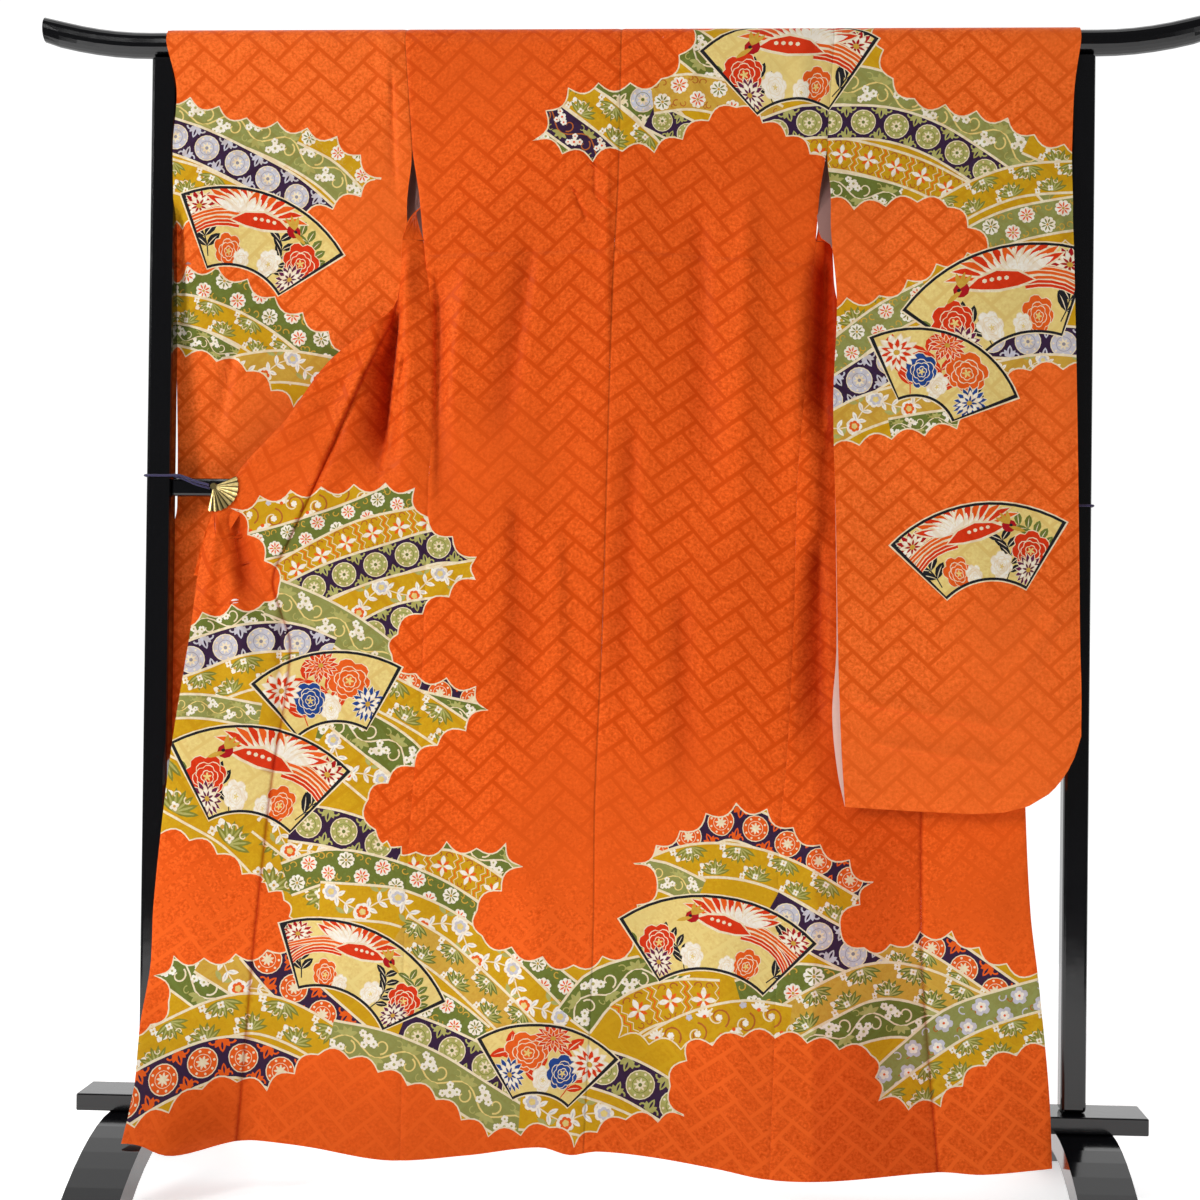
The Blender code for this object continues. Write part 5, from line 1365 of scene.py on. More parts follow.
# %% A brush for petals, leaves, curls and rings
class Brush:
    """Draws small shapes on a layer, along and across a band or a fan, in shares of its width."""

    def __init__(self, layer, at, masks, unit):
        self.layer, self.at, self.masks, self.unit = layer, at, masks, unit

    def fill(self, points, colour):
        """Fill a closed line."""
        places = [self.at(s * self.unit, t * self.unit) for s, t in points]
        return lay(self.layer, places, colour, self.masks)

    def disc(self, s, t, radius, colour, sides=9):
        """A round spot."""
        turns = [0.3 + 2 * math.pi * k / sides for k in range(sides)]
        return self.fill([(s + radius * math.cos(a), t + radius * math.sin(a)) for a in turns], colour)

    def bloom(self, s, t, radius, colour, petals=6, depth=0.22, turn=0.0):
        """A round flower with scalloped petals."""
        points = []
        for k in range(petals):
            for share, reach in ((0.0, 1.0 - depth), (0.25, 0.97), (0.5, 1.0), (0.75, 0.97)):
                a = turn + 2 * math.pi * (k + share) / petals
                points.append((s + radius * reach * math.cos(a), t + radius * reach * math.sin(a)))
        return self.fill(points, colour)

    def petal(self, s, t, length, width, turn, colour, bend=0.0):
        """A pointed leaf or petal from its foot, bent sideways by a little."""
        outline = ((0.0, 0.0), (0.25, -0.38), (0.55, -0.5), (0.82, -0.3), (1.0, 0.0),
                   (0.82, 0.3), (0.55, 0.5), (0.25, 0.38))
        points = []
        for along, off in outline:
            a, o = along * length, off * width + bend * length * along * along
            points.append((s + a * math.cos(turn) - o * math.sin(turn),
                           t + a * math.sin(turn) + o * math.cos(turn)))
        return self.fill(points, colour)

    def stroke(self, path, width, colour, taper=0.0):
        """A line of dye along a path, thinner at its end if it tapers."""
        path = np.array(path, dtype=float)
        off = beside(np.gradient(path, axis=0))
        half = width / 2 * (1.0 - taper * np.linspace(0.0, 1.0, len(path)))[:, None]
        return self.fill(list(path + off * half) + list((path - off * half)[::-1]), colour)

    def curl(self, s, t, radius, turn, width, colour, sweep=4.2, steps=9):
        """A tendril that winds in on itself."""
        path = []
        for k in range(steps + 1):
            share = k / steps
            reach, a = radius * (1.0 - 0.68 * share), turn + sweep * share
            path.append((s + reach * math.cos(a), t + reach * math.sin(a)))
        return self.stroke(path, width, colour, 0.3)

    def rays(self, s, t, count, length, width, colour, turn=0.0, spread=2 * math.pi, start=0.0):
        """Petals round a point, or fanned over a part of a turn."""
        for k in range(count):
            share = k / count if spread > 6.2 else k / max(count - 1, 1) - 0.5
            a = turn + spread * share
            self.petal(s + start * math.cos(a), t + start * math.sin(a), length, width, a, colour)


print("brush ready")

# %% [markdown]
# ## Ornaments for the bands
# Each function fills one kind of band, from its start to its end. Lengths are shares of the
# band's width, so that a wide band gets large motifs and a narrow one small ones, as a dyer's
# pattern book has it: roundels with trefoils between, rows of chrysanthemum florets, vines,
# tufts of leaves, sprays, crosses and plum blossom.

# %% Ornaments
def motifs(length, step, start=0.5):
    """The number of each motif along a band, the side that it leans to, and its place."""
    for k in range(int(length / step) + 1):
        yield k, 1 if k % 2 else -1, (k + start) * step


def roundels(brush, length, tone):
    """Jewelled discs in a row, with palmettes from both edges between them."""
    disc_tone, dot_tone, leaf_tone = ROUNDEL_TONES[tone]
    step, radius = 0.92, 0.345
    for _, _, s in motifs(length, step):
        brush.disc(s, 0.0, radius, CREAM, 18)
        brush.disc(s, 0.0, radius * 0.93, disc_tone, 18)
        brush.disc(s, 0.0, radius * 0.57, dot_tone, 14)
        for dot in range(8):
            a = dot * math.pi / 4
            brush.disc(s + radius * 0.76 * math.cos(a), radius * 0.76 * math.sin(a), radius * 0.09,
                       CREAM, 6)
        brush.disc(s, 0.0, radius * 0.53, disc_tone, 14)
        brush.rays(s, 0.0, 8, radius * 0.46, radius * 0.17, CREAM, turn=0.3)
        brush.disc(s, 0.0, radius * 0.14, dot_tone, 7)
        for edge in (-1, 1):
            foot, middle, down = edge * 0.45, s + step / 2, -edge * math.pi / 2
            for side in (-1, 1):
                brush.curl(middle + 0.15 * side, foot - edge * 0.05, 0.10, math.pi / 2 * (1 - side), 0.045,
                           leaf_tone, -3.6 * side * edge, 7)
                brush.petal(middle, foot, 0.25, 0.12, down - edge * 0.75 * side, leaf_tone,
                            0.12 * side * edge)
            brush.petal(middle, foot, 0.33, 0.15, down, leaf_tone)
            brush.petal(middle, foot - edge * 0.08, 0.20, 0.05, down, GROUNDS[tone])


def florets(brush, length, tone):
    """White chrysanthemum florets in a zigzag, with orange hearts and curls between."""
    curl_tone = BROWN if tone == "gold" else GOLD
    for k, side, s in motifs(length, 0.50):
        t, radius = 0.19 * side, 0.23
        for off, turn in ((-0.14, 0.4), (0.10, 2.4)):
            brush.curl(s + off, -t * 1.55, 0.115, turn + 0.6 * k, 0.034, curl_tone, 4.4 * side, 9)
        brush.curl(s + 0.26, t * 1.85, 0.075, 0.9 * k, 0.030, curl_tone, -4.2 * side, 7)
        brush.bloom(s, t, radius, WHITE, 9, 0.16, 0.2 * k)
        brush.rays(s, t, 8, radius * 0.66, radius * 0.20, ORANGE if k % 3 else OLIVE, turn=0.3 * k,
                   start=radius * 0.16)
        brush.disc(s, t, radius * 0.17, GOLD, 7)


def vine(brush, length, tone):
    """A waving stem with tendrils, leaves and clusters of blooms."""
    stem_tone = {"sage": PALE_GOLD, "green": CREAM, "purple": BROWN}[tone]
    heart_tone = ORANGE if tone == "purple" else OLIVE_LIGHT
    period, swing = 1.5, 0.20
    count = max(int(length / 0.16), 4)
    wave = [(length * k / count, swing * math.sin(2 * math.pi * length * k / count / period))
            for k in range(count + 1)]
    brush.stroke(wave, 0.040, stem_tone)
    for k, side, s in motifs(length, period / 2):
        t = -side * swing
        for turn, reach in ((0.3, 0.26), (1.1, 0.22), (2.0, 0.22), (2.8, 0.26)):
            brush.petal(s, t, reach, 0.11, turn * -side, OLIVE_LIGHT, 0.1)
        brush.curl(s + 0.08, t + 0.30 * side, 0.19, -1.4 * side, 0.042, stem_tone, 5.0 * side, 12)
        brush.curl(s + 0.42, t + 0.02 * side, 0.12, 1.2 * side, 0.034, stem_tone, -4.2 * side, 9)
        brush.curl(s - 0.30, t - 0.06 * side, 0.11, 2.2, 0.030, OLIVE_LIGHT, 4.2 * side, 8)
        for off_s, off_t, size in ((-0.24, 0.40, 0.13), (-0.10, 0.30, 0.10), (-0.32, 0.24, 0.09),
                                   (0.36, -0.10, 0.09)):
            brush.bloom(s + off_s, t + off_t * side, size, WHITE, 5, 0.25, 0.7 * k)
            brush.disc(s + off_s, t + off_t * side, 0.3 * size, heart_tone, 6)


def tufts(brush, length, tone):
    """Clusters of leaves from alternate edges, with four-petalled blossoms and curls on them."""
    leaf_tone = OLIVE if tone == "mustard" else GREEN
    for _, side, s in motifs(length, 0.62):
        foot, upward = -0.40 * side, side * math.pi / 2
        brush.rays(s, foot, 7, 0.46, 0.12, leaf_tone, turn=upward, spread=2.4)
        brush.rays(s, foot, 7, 0.38, 0.045, OLIVE_LIGHT, turn=upward, spread=2.4)
        for off, turn in ((-0.12, 0.5), (0.13, 2.6)):
            brush.curl(s + off, foot + 0.30 * side, 0.085, turn, 0.028, CREAM, 4.2 * side, 8)
        for off_s, off_t, size in ((0.31, 0.20, 0.17), (0.18, 0.36, 0.10), (-0.05, -0.30, 0.10)):
            brush.rays(s + off_s, off_t * side, 4, size, 0.82 * size, WHITE, turn=0.785)
            brush.disc(s + off_s, off_t * side, 0.28 * size, GOLD, 6)


def sprays(brush, length, tone):
    """White sprays of broad leaves with a peony now and then."""
    step = 0.86
    for k, side, s in motifs(length, step, 0.35):
        t = -0.24 * side
        stem = [(s + step * 0.9 * j / 6, t + side * 0.44 * math.sin(1.4 * j / 6)) for j in range(7)]
        brush.petal(s + 0.45 * step, -t * 1.3, 0.30, 0.13, 2.6, OLIVE_LIGHT)
        brush.petal(s + 0.45 * step, -t * 1.3, 0.28, 0.12, 0.6, OLIVE_LIGHT)
        brush.stroke(stem, 0.034, CREAM)
        for foot in stem[1::2]:
            for turn in (0.9, -0.8):
                brush.petal(*foot, 0.29, 0.13, side * 0.5 + turn, WHITE, 0.1 * turn)
                brush.petal(*foot, 0.22, 0.025, side * 0.5 + turn, SILVER, 0.1 * turn)
        brush.bloom(s, t, 0.24, WHITE, 7, 0.18)
        brush.bloom(s, t, 0.165, ORANGE if k % 2 else SILVER, 6, 0.2, 0.4)
        brush.bloom(s, t, 0.090, PALE_GOLD, 5, 0.2)


def crosses(brush, length, tone):
    """Crosses of four petals with stacked rings and zigzag lines between."""
    step = 0.78
    for _, _, s in motifs(length, step):
        brush.rays(s, 0.0, 4, 0.28, 0.13, WHITE, turn=0.0, start=0.02)
        brush.rays(s, 0.0, 4, 0.20, 0.080, ORANGE, turn=0.785, start=0.03)
        brush.disc(s, 0.0, 0.045, PALE_GOLD, 7)
        for t in (-0.32, 0.32):
            for off in (-0.11, 0.11):
                brush.curl(s + off, t, 0.105, 1.57 - math.copysign(1.57, off), 0.036, BROWN,
                           math.copysign(4.4, t * off), 8)
        zig = [(s + step / 2 + 0.045 * (-1) ** j, -0.42 + 0.12 * j) for j in range(8)]
        brush.stroke(zig, 0.035, ORANGE)
        for off in (-0.085, 0.085):
            brush.stroke([(a + off, b) for a, b in zig], 0.022, CREAM)


def arabesque(brush, length, tone):
    """Large scrolls with half palmettes and small buds."""
    for k, side, s in motifs(length, 0.66):
        t = 0.12 * side
        brush.curl(s, t, 0.29, -1.2 * side, 0.050, BROWN, 5.2 * side, 12)
        brush.curl(s, t, 0.29, 1.9 * side, 0.042, CREAM, 3.2 * side, 8)
        brush.rays(s + 0.32, -t * 2.0, 6, 0.24, 0.095, WHITE, turn=-side * 1.3, spread=2.4)
        brush.disc(s + 0.32, -t * 2.0, 0.055, ORANGE, 6)
        brush.bloom(s - 0.05, -t * 2.9, 0.085, ORANGE if k % 2 else SILVER, 5, 0.25)
        brush.bloom(s, t, 0.090, WHITE, 6, 0.2)


def plums(brush, length, tone):
    """Silver plum blossom with tendrils."""
    for k, side, s in motifs(length, 0.50):
        t = 0.19 * side
        brush.bloom(s, t, 0.23, SILVER, 5, 0.28, 0.5 * k)
        brush.bloom(s, t, 0.13, WHITE, 5, 0.25, 0.5 * k)
        brush.disc(s, t, 0.035, ORANGE, 6)
        brush.curl(s + 0.05, -t * 1.5, 0.13, 0.8 * k, 0.036, SILVER, 4.4 * side, 9)
        brush.curl(s + 0.27, -t * 0.9, 0.09, 1.9 * k, 0.030, BROWN, -4.0 * side, 8)


ORNAMENTS = {"roundels": roundels, "florets": florets, "vine": vine, "tufts": tufts, "sprays": sprays,
             "crosses": crosses, "arabesque": arabesque, "plums": plums}
print(len(ORNAMENTS), "kinds of ornament")

# %% Clouds and their bands
SCALLOP = 0.046
SCALLOP_DEPTH = 0.27
PASTE_LINE = 0.0042
PASTE_OVERLAP = 0.001
BAND_LINE = 0.0036


def chord_of(points):
    """How far along a line each of its points lies."""
    return np.concatenate([[0.0], np.cumsum(np.linalg.norm(np.diff(points, axis=0), axis=1))])


def along_line(points, pitch, closed=False):
    """Points at an even pitch along a line, smooth through its points, or closed and straight."""
    points = np.concatenate([points, points[:1]]) if closed else np.array(points, dtype=float)
    chord = chord_of(points)
    rows = [(a, *point) for a, point in zip(chord, points)]
    where = np.linspace(0.0, chord[-1], max(int(round(chord[-1] / pitch)), 1) + 1)
    read = straight if closed else smooth
    line = np.stack([read(rows, where, 1), read(rows, where, 2)], axis=-1)
    return line[:-1] if closed else line


def scalloped(guide):
    """A cloud's edge: cusps at an even pitch, with arcs that bite into the cloud between them."""
    cusps = along_line(guide, SCALLOP, True)
    edge = []
    for a, b in zip(cusps, np.roll(cusps, -1, axis=0)):
        run = b - a
        inward = np.array([-run[1], run[0]]) * np.sign(area_of(cusps))
        for share in np.linspace(0.0, 1.0, 7)[:-1]:
            edge.append(a + run * share + inward * SCALLOP_DEPTH * 4 * share * (1 - share))
    return np.array(edge)


def band_frame(path):
    """The length of a band, and a function from along and across it to the flat cloth."""
    line = along_line(path, 0.006)
    run = np.gradient(line, axis=0)
    off = beside(run)
    chord = chord_of(line)
    ends = [run[index] / np.linalg.norm(run[index]) for index in (0, -1)]

    def at(s, t):
        spare = s - min(max(s, 0.0), chord[-1])
        here = np.array([np.interp(s, chord, line[:, axis]) + t * np.interp(s, chord, off[:, axis])
                         for axis in (0, 1)])
        return here + spare * ends[0 if spare < 0 else 1]

    return float(chord[-1]), at


cloud_shapes = []
for layer, name, guide in CLOUDS:
    edge = scalloped(on_cloth(layer, guide) / 1000.0)
    out = -beside(round_run(edge)) * np.sign(area_of(edge))
    for first in range(len(edge)):
        ends = [first, (first + 1) % len(edge)]
        strip = [*(edge[ends] - out[ends] * PASTE_OVERLAP), *(edge[ends] + out[ends] * PASTE_LINE / 2)[::-1]]
        lay(layer, strip, CREAM)
    cloud_shapes.append((layer, name, edge, lay(layer, edge, MUSTARD)))
print(len(cloud_shapes), "clouds laid")

# %% Fill the clouds
def cloud_of(name, pixels):
    """The cloud of this name that most of a band lies in, and the band's path on it."""
    found = []
    for number, (layer, label, edge, _) in enumerate(cloud_shapes):
        if label == name:
            path = on_cloth(layer, pixels) / 1000.0
            found.append((int(inside(along_line(path, 0.010), edge).sum()), number, path))
    _, number, path = max(found, key=lambda row: row[:2])
    return cloud_shapes[number][0], cloud_shapes[number][3], path


band_length = 0.0
for name, kind, width, pixels in BANDS:
    layer, cloud, path = cloud_of(name, pixels)
    ornament, tone = kind.split()
    width = round(width * PHOTO_SCALE) / 1000.0
    length, at = band_frame(path)
    steps = np.linspace(0.0, length / width, max(int(length / 0.015), 3))
    field = [(s, -0.5) for s in steps] + [(s, 0.5) for s in steps[::-1]]
    body = Brush(layer, at, (cloud,), width).fill(field, GROUNDS[tone])
    brush = Brush(layer, at, (cloud, body), width)
    ORNAMENTS[ornament](brush, length / width, tone)
    for edge in (-1, 1):
        brush.stroke([(s, edge * (0.5 - BAND_LINE / 2 / width)) for s in steps], BAND_LINE / width, CREAM)
    band_length += length
print("bands in all", round(band_length, 1), "metres")

# %% [markdown]
# ## Fans
# An opened fan is a part of a ring: its leaf is folded paper with a gilt ground, an ink rim and
# a cream resist line. In some flies a bird with a long tail between flowers, others hold
# flowers and leaves alone. Each is drawn in shares of the leaf's width, along the arc and out
# from its middle.

# %% Flowers and birds
RESIST_LINE = 0.0014
STEM_LINE = 0.0022


def chrysanthemum(brush, s, t, radius, outer_tone, inner_tone):
    """A full flower of three rounds of narrow petals, each with a resist line round it."""
    for count, reach, tone, turn in ((15, 1.0, outer_tone, 0.0), (11, 0.74, inner_tone, 0.2),
                                     (8, 0.46, outer_tone, 0.1)):
        brush.rays(s, t, count, radius * reach, radius * reach * 0.38, CREAM, turn=turn)
        brush.rays(s, t, count, radius * reach * 0.95, radius * reach * 0.27, tone, turn=turn)
    brush.disc(s, t, radius * 0.15, GOLD, 8)


def peony(brush, s, t, radius, tone):
    """A full flower of broad petals, one round over another, with a resist line round each."""
    for share, off, petals in ((1.0, 0.0, 7), (0.76, 0.10, 6), (0.54, 0.04, 5), (0.32, 0.06, 5)):
        away = radius * off
        for inset, colour in ((0.0, CREAM), (RESIST_LINE / brush.unit, tone)):
            brush.bloom(s + away, t - away, radius * share - inset, colour, petals, 0.18, 3.1 * share)
    brush.rays(s + radius * 0.05, t - radius * 0.05, 5, radius * 0.22, radius * 0.10, PALE_GOLD)


def leaf_spray(brush, s, t, turn, length, tone):
    """A bent stem with paired broad leaves, each with a pale midrib."""
    stem = [(s + length * k / 5 * math.cos(turn + 0.12 * k), t + length * k / 5 * math.sin(turn + 0.12 * k))
            for k in range(6)]
    brush.stroke(stem, STEM_LINE / brush.unit, tone)
    for k in range(1, 6):
        for off in (0.8, -0.7):
            way = turn + 0.12 * k + off
            brush.petal(*stem[k], length * 0.40, length * 0.18, way, tone, 0.1 * off)
            brush.petal(*stem[k], length * 0.33, length * 0.020, way, CREAM, 0.1 * off)


def bird(brush, s, t, way):
    """A long-tailed bird on the wing, turned left or right."""
    for k, tone in enumerate((RED, ORANGE, DEEP_RED, RED, ORANGE)):
        spread = (k - 2) * 0.16
        path = [(s - way * (0.15 + 0.95 * j / 7), t - (0.10 - spread * j / 7)
                 + 0.16 * math.sin(2.6 * j / 7 + 0.5 * k)) for j in range(8)]
        for width, colour, taper in ((0.105, CREAM, 0.35), (0.080, tone, 0.35), (0.012, CREAM, 0.3)):
            brush.stroke(path, width, colour, taper)
    for base, count, reach, turn in ((0.02, 8, 0.62, 1.95), (0.10, 7, 0.50, 0.95)):
        for k in range(count):
            a = turn + 0.15 * k - 0.5
            a = a if way > 0 else math.pi - a
            foot = (s + way * (base - 0.03 * k), t + 0.04)
            brush.petal(*foot, reach * (1 - 0.05 * k), 0.125, a, CREAM)
            brush.petal(*foot, reach * (0.96 - 0.05 * k), 0.085, a, RED if k % 2 else ORANGE)
            brush.petal(*foot, reach * 0.46, 0.085, a, WHITE)
    turn = 0.15 if way > 0 else math.pi - 0.15
    brush.petal(s - way * 0.28, t - 0.05, 0.74, 0.26, turn, CREAM)
    brush.petal(s - way * 0.25, t - 0.045, 0.66, 0.20, turn, RED)
    for k in range(4):
        brush.disc(s + way * (0.02 + 0.07 * k), t + 0.01 + 0.012 * k, 0.024, CREAM, 6)
    head_s, head_t = s + way * 0.46, t + 0.075
    brush.disc(head_s, head_t, 0.080, DEEP_RED, 9)
    brush.petal(head_s, head_t - 0.01, 0.19, 0.055, -0.1 if way > 0 else 3.24, GOLD)
    brush.rays(head_s, head_t + 0.02, 3, 0.17, 0.045, GOLD, turn=math.pi / 2 + way * 0.7, spread=0.9)
    brush.disc(head_s + way * 0.02, head_t + 0.012, 0.020, INK, 6)


# Each row of a picture: what it draws, how far along half the arc, how far out from the middle
# of the leaf, and what else that kind of thing needs, its size or its turn and size first.
PICTURES = {
    "bird": (
        (leaf_spray, -0.88, -0.34, 1.2, 0.62, INK), (leaf_spray, 0.50, -0.46, 1.3, 0.50, INK),
        (leaf_spray, 0.94, 0.00, 2.0, 0.44, GREEN), (peony, 0.74, -0.02, 0.25, RED),
        (peony, 0.34, -0.30, 0.19, WHITE), (chrysanthemum, 0.84, -0.26, 0.22, PLUM, WHITE),
        (peony, -0.48, -0.30, 0.23, ORANGE), (peony, -0.20, -0.40, 0.15, WHITE),
        (chrysanthemum, -0.82, 0.28, 0.20, DEEP_RED, WHITE), (bird, -0.14, 0.13),
    ),
    "flowers": (
        (leaf_spray, -0.60, -0.44, 1.3, 0.66, RED), (leaf_spray, 0.12, -0.46, 1.5, 0.70, RED),
        (leaf_spray, 0.86, -0.30, 1.9, 0.50, INK), (peony, 0.02, -0.28, 0.20, WHITE),
        (peony, 0.34, 0.10, 0.29, ORANGE), (peony, -0.36, -0.12, 0.26, BLUE),
        (chrysanthemum, -0.72, 0.16, 0.27, WHITE, RED), (chrysanthemum, 0.76, -0.16, 0.26, BLUE, WHITE),
        (chrysanthemum, -0.06, 0.30, 0.21, RED, ORANGE),
    ),
}


def fan_ring(corners):
    """The middle, both radii, the turn and half the angle of a leaf, in millimetres and degrees."""
    outer_left, outer_right, inner_left, inner_right = corners
    chord = np.linalg.norm(outer_right - outer_left)
    leaf = (np.linalg.norm(outer_left - inner_left) + np.linalg.norm(outer_right - inner_right)) / 2
    inner_radius = leaf / (chord / np.linalg.norm(inner_right - inner_left) - 1)
    outer_radius = inner_radius + leaf
    half = math.asin(min(chord / 2 / outer_radius, 0.99))
    up = np.array([outer_left[1] - outer_right[1], outer_right[0] - outer_left[0]]) / chord
    middle = (outer_left + outer_right) / 2 - up * outer_radius * math.cos(half)
    turn = math.degrees(math.atan2(up[1], up[0]))
    return [int(round(value)) for value in (*middle, outer_radius, inner_radius, turn, math.degrees(half))]


for layer, kind, way, corners in FANS:
    *middle, outer_radius, inner_radius, turn, half = fan_ring(on_cloth(layer, corners))
    radius, depth = (outer_radius + inner_radius) / 2000.0, (outer_radius - inner_radius) / 1000.0
    reach = math.radians(half) * radius / depth

    def at_fan(s, t):
        a, away = math.radians(turn) - s / radius, radius + t
        return middle[0] / 1000.0 + away * math.cos(a), middle[1] / 1000.0 + away * math.sin(a)

    for inset, tone in ((0.0, CREAM), (0.0018, INK), (0.0056, PALE_GOLD)):
        inset /= depth
        across = np.linspace(-reach + inset, reach - inset, 15)
        rim = [(s, 0.5 - inset) for s in across] + [(s, -0.5 + inset) for s in across[::-1]]
        leaf = Brush(layer, at_fan, (), depth).fill(rim, tone)
    brush = Brush(layer, at_fan, (leaf,), depth)
    for draw, along, out, *rest in PICTURES[kind]:
        draw(brush, way * reach * along, out, *(rest or [way]))
print("shapes painted", {layer: len(shapes) for layer, shapes in painting.items()})

# %% [markdown]
# ## The body: two backs, two fronts and two gores
# Each side of the body is one width of cloth that runs from the back hem over the bar to the
# front hem. Behind the bar the fronts hang with their outside to the rear, gather below the
# sleeves, pass through the open underarms and are drawn out to the posts, so that their outside
# faces the viewer again. That is why a front is cut here in two: an upper part that twists
# through the underarm, and a lower part, joined in one mesh at the top of the side seam.
# The weave runs with each piece, so the pattern is counted from its own seam.
# One loop makes both sides: inward is 1 on the left and -1 on the right.

# %% Backs
HALF_GAP = 0.00002


def weave_from(seam, turned=0.0, slipped=0.0):
    """A weave map that starts from a seam, its threads turned, or slipped along each other."""
    def weave(across, height):
        u = across - seam(height)
        v = height + slipped * u
        return u * math.cos(turned) - v * math.sin(turned), u * math.sin(turned) + v * math.cos(turned)
    return weave


def centre_line(level):
    """The seam down the middle of the back."""
    return smooth(CENTRE_SEAM, level)


for side, seams, inward, slipped in (("left", LEFT_SEAMS, 1, -0.10), ("right", RIGHT_SEAMS, -1, 0.22)):
    ends = (lambda level: side_line(level, seams) + inward * HALF_GAP,
            lambda level: centre_line(level) - inward * HALF_GAP)
    outline = strip_outline(HEM_BASE, TOP_OF_CLOTH, ends, inward, BODY_FOOT)
    weave = weave_from(centre_line, 0.0, slipped)
    make_cloth("back_" + side, [(outline, hang_back, weave, "body", False, None)])

# %% Fronts
TURNED_THREADS = 0.10
GORE_TOP = 1.292


def front_hanging(neck_edge, seams, gather, outer_of):
    """The hanging function of a front's upper part, by its column and its height."""
    neck = pair(neck_edge)
    start = (*neck(ARMHOLE_FOOT), ARMHOLE_FOOT, straight(seams[0], ARMHOLE_FOOT),
             straight(SHOULDER_FRONT_DEPTH, ARMHOLE_FOOT), ARMHOLE_FOOT)
    end = (*outer_of(SIDE_SEAM_TOP), SIDE_SEAM_TOP, smooth(seams[2], SIDE_SEAM_TOP),
           smooth(BACK_DEPTH, SIDE_SEAM_TOP), SIDE_SEAM_TOP)
    rows = [tuple(map(float, row)) for row in (start, *gather, end)]
    table = [(index / (len(rows) - 1), *row) for index, row in enumerate(rows)]

    def hang(across, height):
        level = np.maximum(height, ARMHOLE_FOOT)
        edge_x, edge_y = neck(level)
        column = (across - edge_x) / (straight(seams[0], level) - edge_x)
        depth = edge_y + (straight(SHOULDER_FRONT_DEPTH, level) - edge_y) * column
        crease = 0.0012 * np.sin(column * 17.0 + 3.0 * level) * ease((BAR_CENTRE - height) / 0.05)
        upper = round_the_bar(across, height, depth + crease, np.zeros_like(across), 1)
        share = np.clip((ARMHOLE_FOOT - height) / (ARMHOLE_FOOT - SIDE_SEAM_TOP), 0.0, 1.0)
        ends = [smooth(table, share, index) for index in range(1, 7)]
        lower = np.stack([ends[index] + (ends[index + 3] - ends[index]) * column
                          for index in range(3)], axis=-1)
        crumple = ease(share / 0.3) * ease((1.0 - share) / 0.3)
        lower[..., 1] += 0.0015 * crumple * np.sin(column * 25.0)
        return np.where((height >= ARMHOLE_FOOT)[..., None], upper, lower)

    return hang


def front_edge_line(okumi_seam, front_edge):
    """The outer line of a front's lower part: its own edge at the top, then the gore's seam."""
    def outer(level):
        high = np.asarray(level) >= OKUMI_TOP
        return tuple(np.where(high, smooth(front_edge, level, column), smooth(okumi_seam, level, column))
                     for column in (1, 2))
    return outer


for side, neck_edge, seams, gather, okumi_seam, front_edge, inward in (
        ("left", NECK_EDGE_LEFT, LEFT_SEAMS, GATHER_LEFT, OKUMI_SEAM_LEFT, FRONT_EDGE_LEFT, 1),
        ("right", NECK_EDGE_RIGHT, RIGHT_SEAMS, GATHER_RIGHT, OKUMI_SEAM_RIGHT, FRONT_EDGE_RIGHT, -1)):
    outer = front_edge_line(okumi_seam, front_edge)
    neck = lambda level: smooth(neck_edge, max(level, ARMHOLE_FOOT))
    arm = lambda level: straight(seams[0], np.maximum(level, ARMHOLE_FOOT))
    upper = strip_outline(SIDE_SEAM_TOP, TOP_OF_CLOTH, (arm, neck), inward)
    ends = (lambda level: outer(level)[0] + inward * HALF_GAP,
            lambda level: side_line(level, seams) - inward * HALF_GAP)
    lower = strip_outline(HEM_BASE, SIDE_SEAM_TOP, ends, inward, BODY_FOOT)
    spread = hang_between(outer, lambda level: (side_line(level, seams), smooth(BACK_DEPTH, level)),
                          inward > 0)
    weave = weave_from(lambda level: smooth(seams[2], level), TURNED_THREADS * inward)
    twist = front_hanging(neck_edge, seams, gather, outer)
    make_cloth("front_" + side, [(upper, twist, weave_from(arm), "body", True, SIDE_SEAM_TOP),
                                 (lower, spread, weave, "body", False, SIDE_SEAM_TOP)],
               front_lining,
               painted_shade=painted_shade_beside(okumi_seam, painted_shade_of if inward > 0 else painted_shade_right))

    ends = (lambda level: smooth(front_edge, level),
            lambda level: smooth(okumi_seam, level) - inward * HALF_GAP)
    gore = strip_outline(HEM_BASE, GORE_TOP, ends, inward, BODY_FOOT)
    weave = weave_from(lambda level: smooth(okumi_seam, level), TURNED_THREADS * inward)
    spread = hang_between(pair(front_edge), pair(okumi_seam), inward > 0)
    make_cloth("okumi_" + side, [(gore, spread, weave, "body", False, None)],
               painted_shade=painted_shade_beside(okumi_seam))

# %% [markdown]
# ## The sleeves
# A furisode's sleeve is one width folded at the top and sewn shut at the foot and up the outer
# edge as far as the wrist opening, here a near and a far wall with air between them. The near
# wall carries the painting, the far wall the painting of its partner, as on the real sleeve,
# where the design runs round from the back to the front. At the open underarm the far wall
# stands past the near one, 3.4 cm on the left and 2.1 cm on the right, and its inside shows
# there, painted plum brown as painted shade. The wrist edge is drawn in by a few millimetres
# below the bar.

# %% Sleeve walls
UNDERARM_TOP = 1.505
UNDERARM_FOOT = {1: 1.350, -1: 1.368}
UNDERARM_SHOWN = {1: 0.034, -1: 0.021}
WRIST_EASE = {1: 0.005, -1: 0.002}
WRIST_EASE_BELOW = {1: 0.005, -1: 0.0}


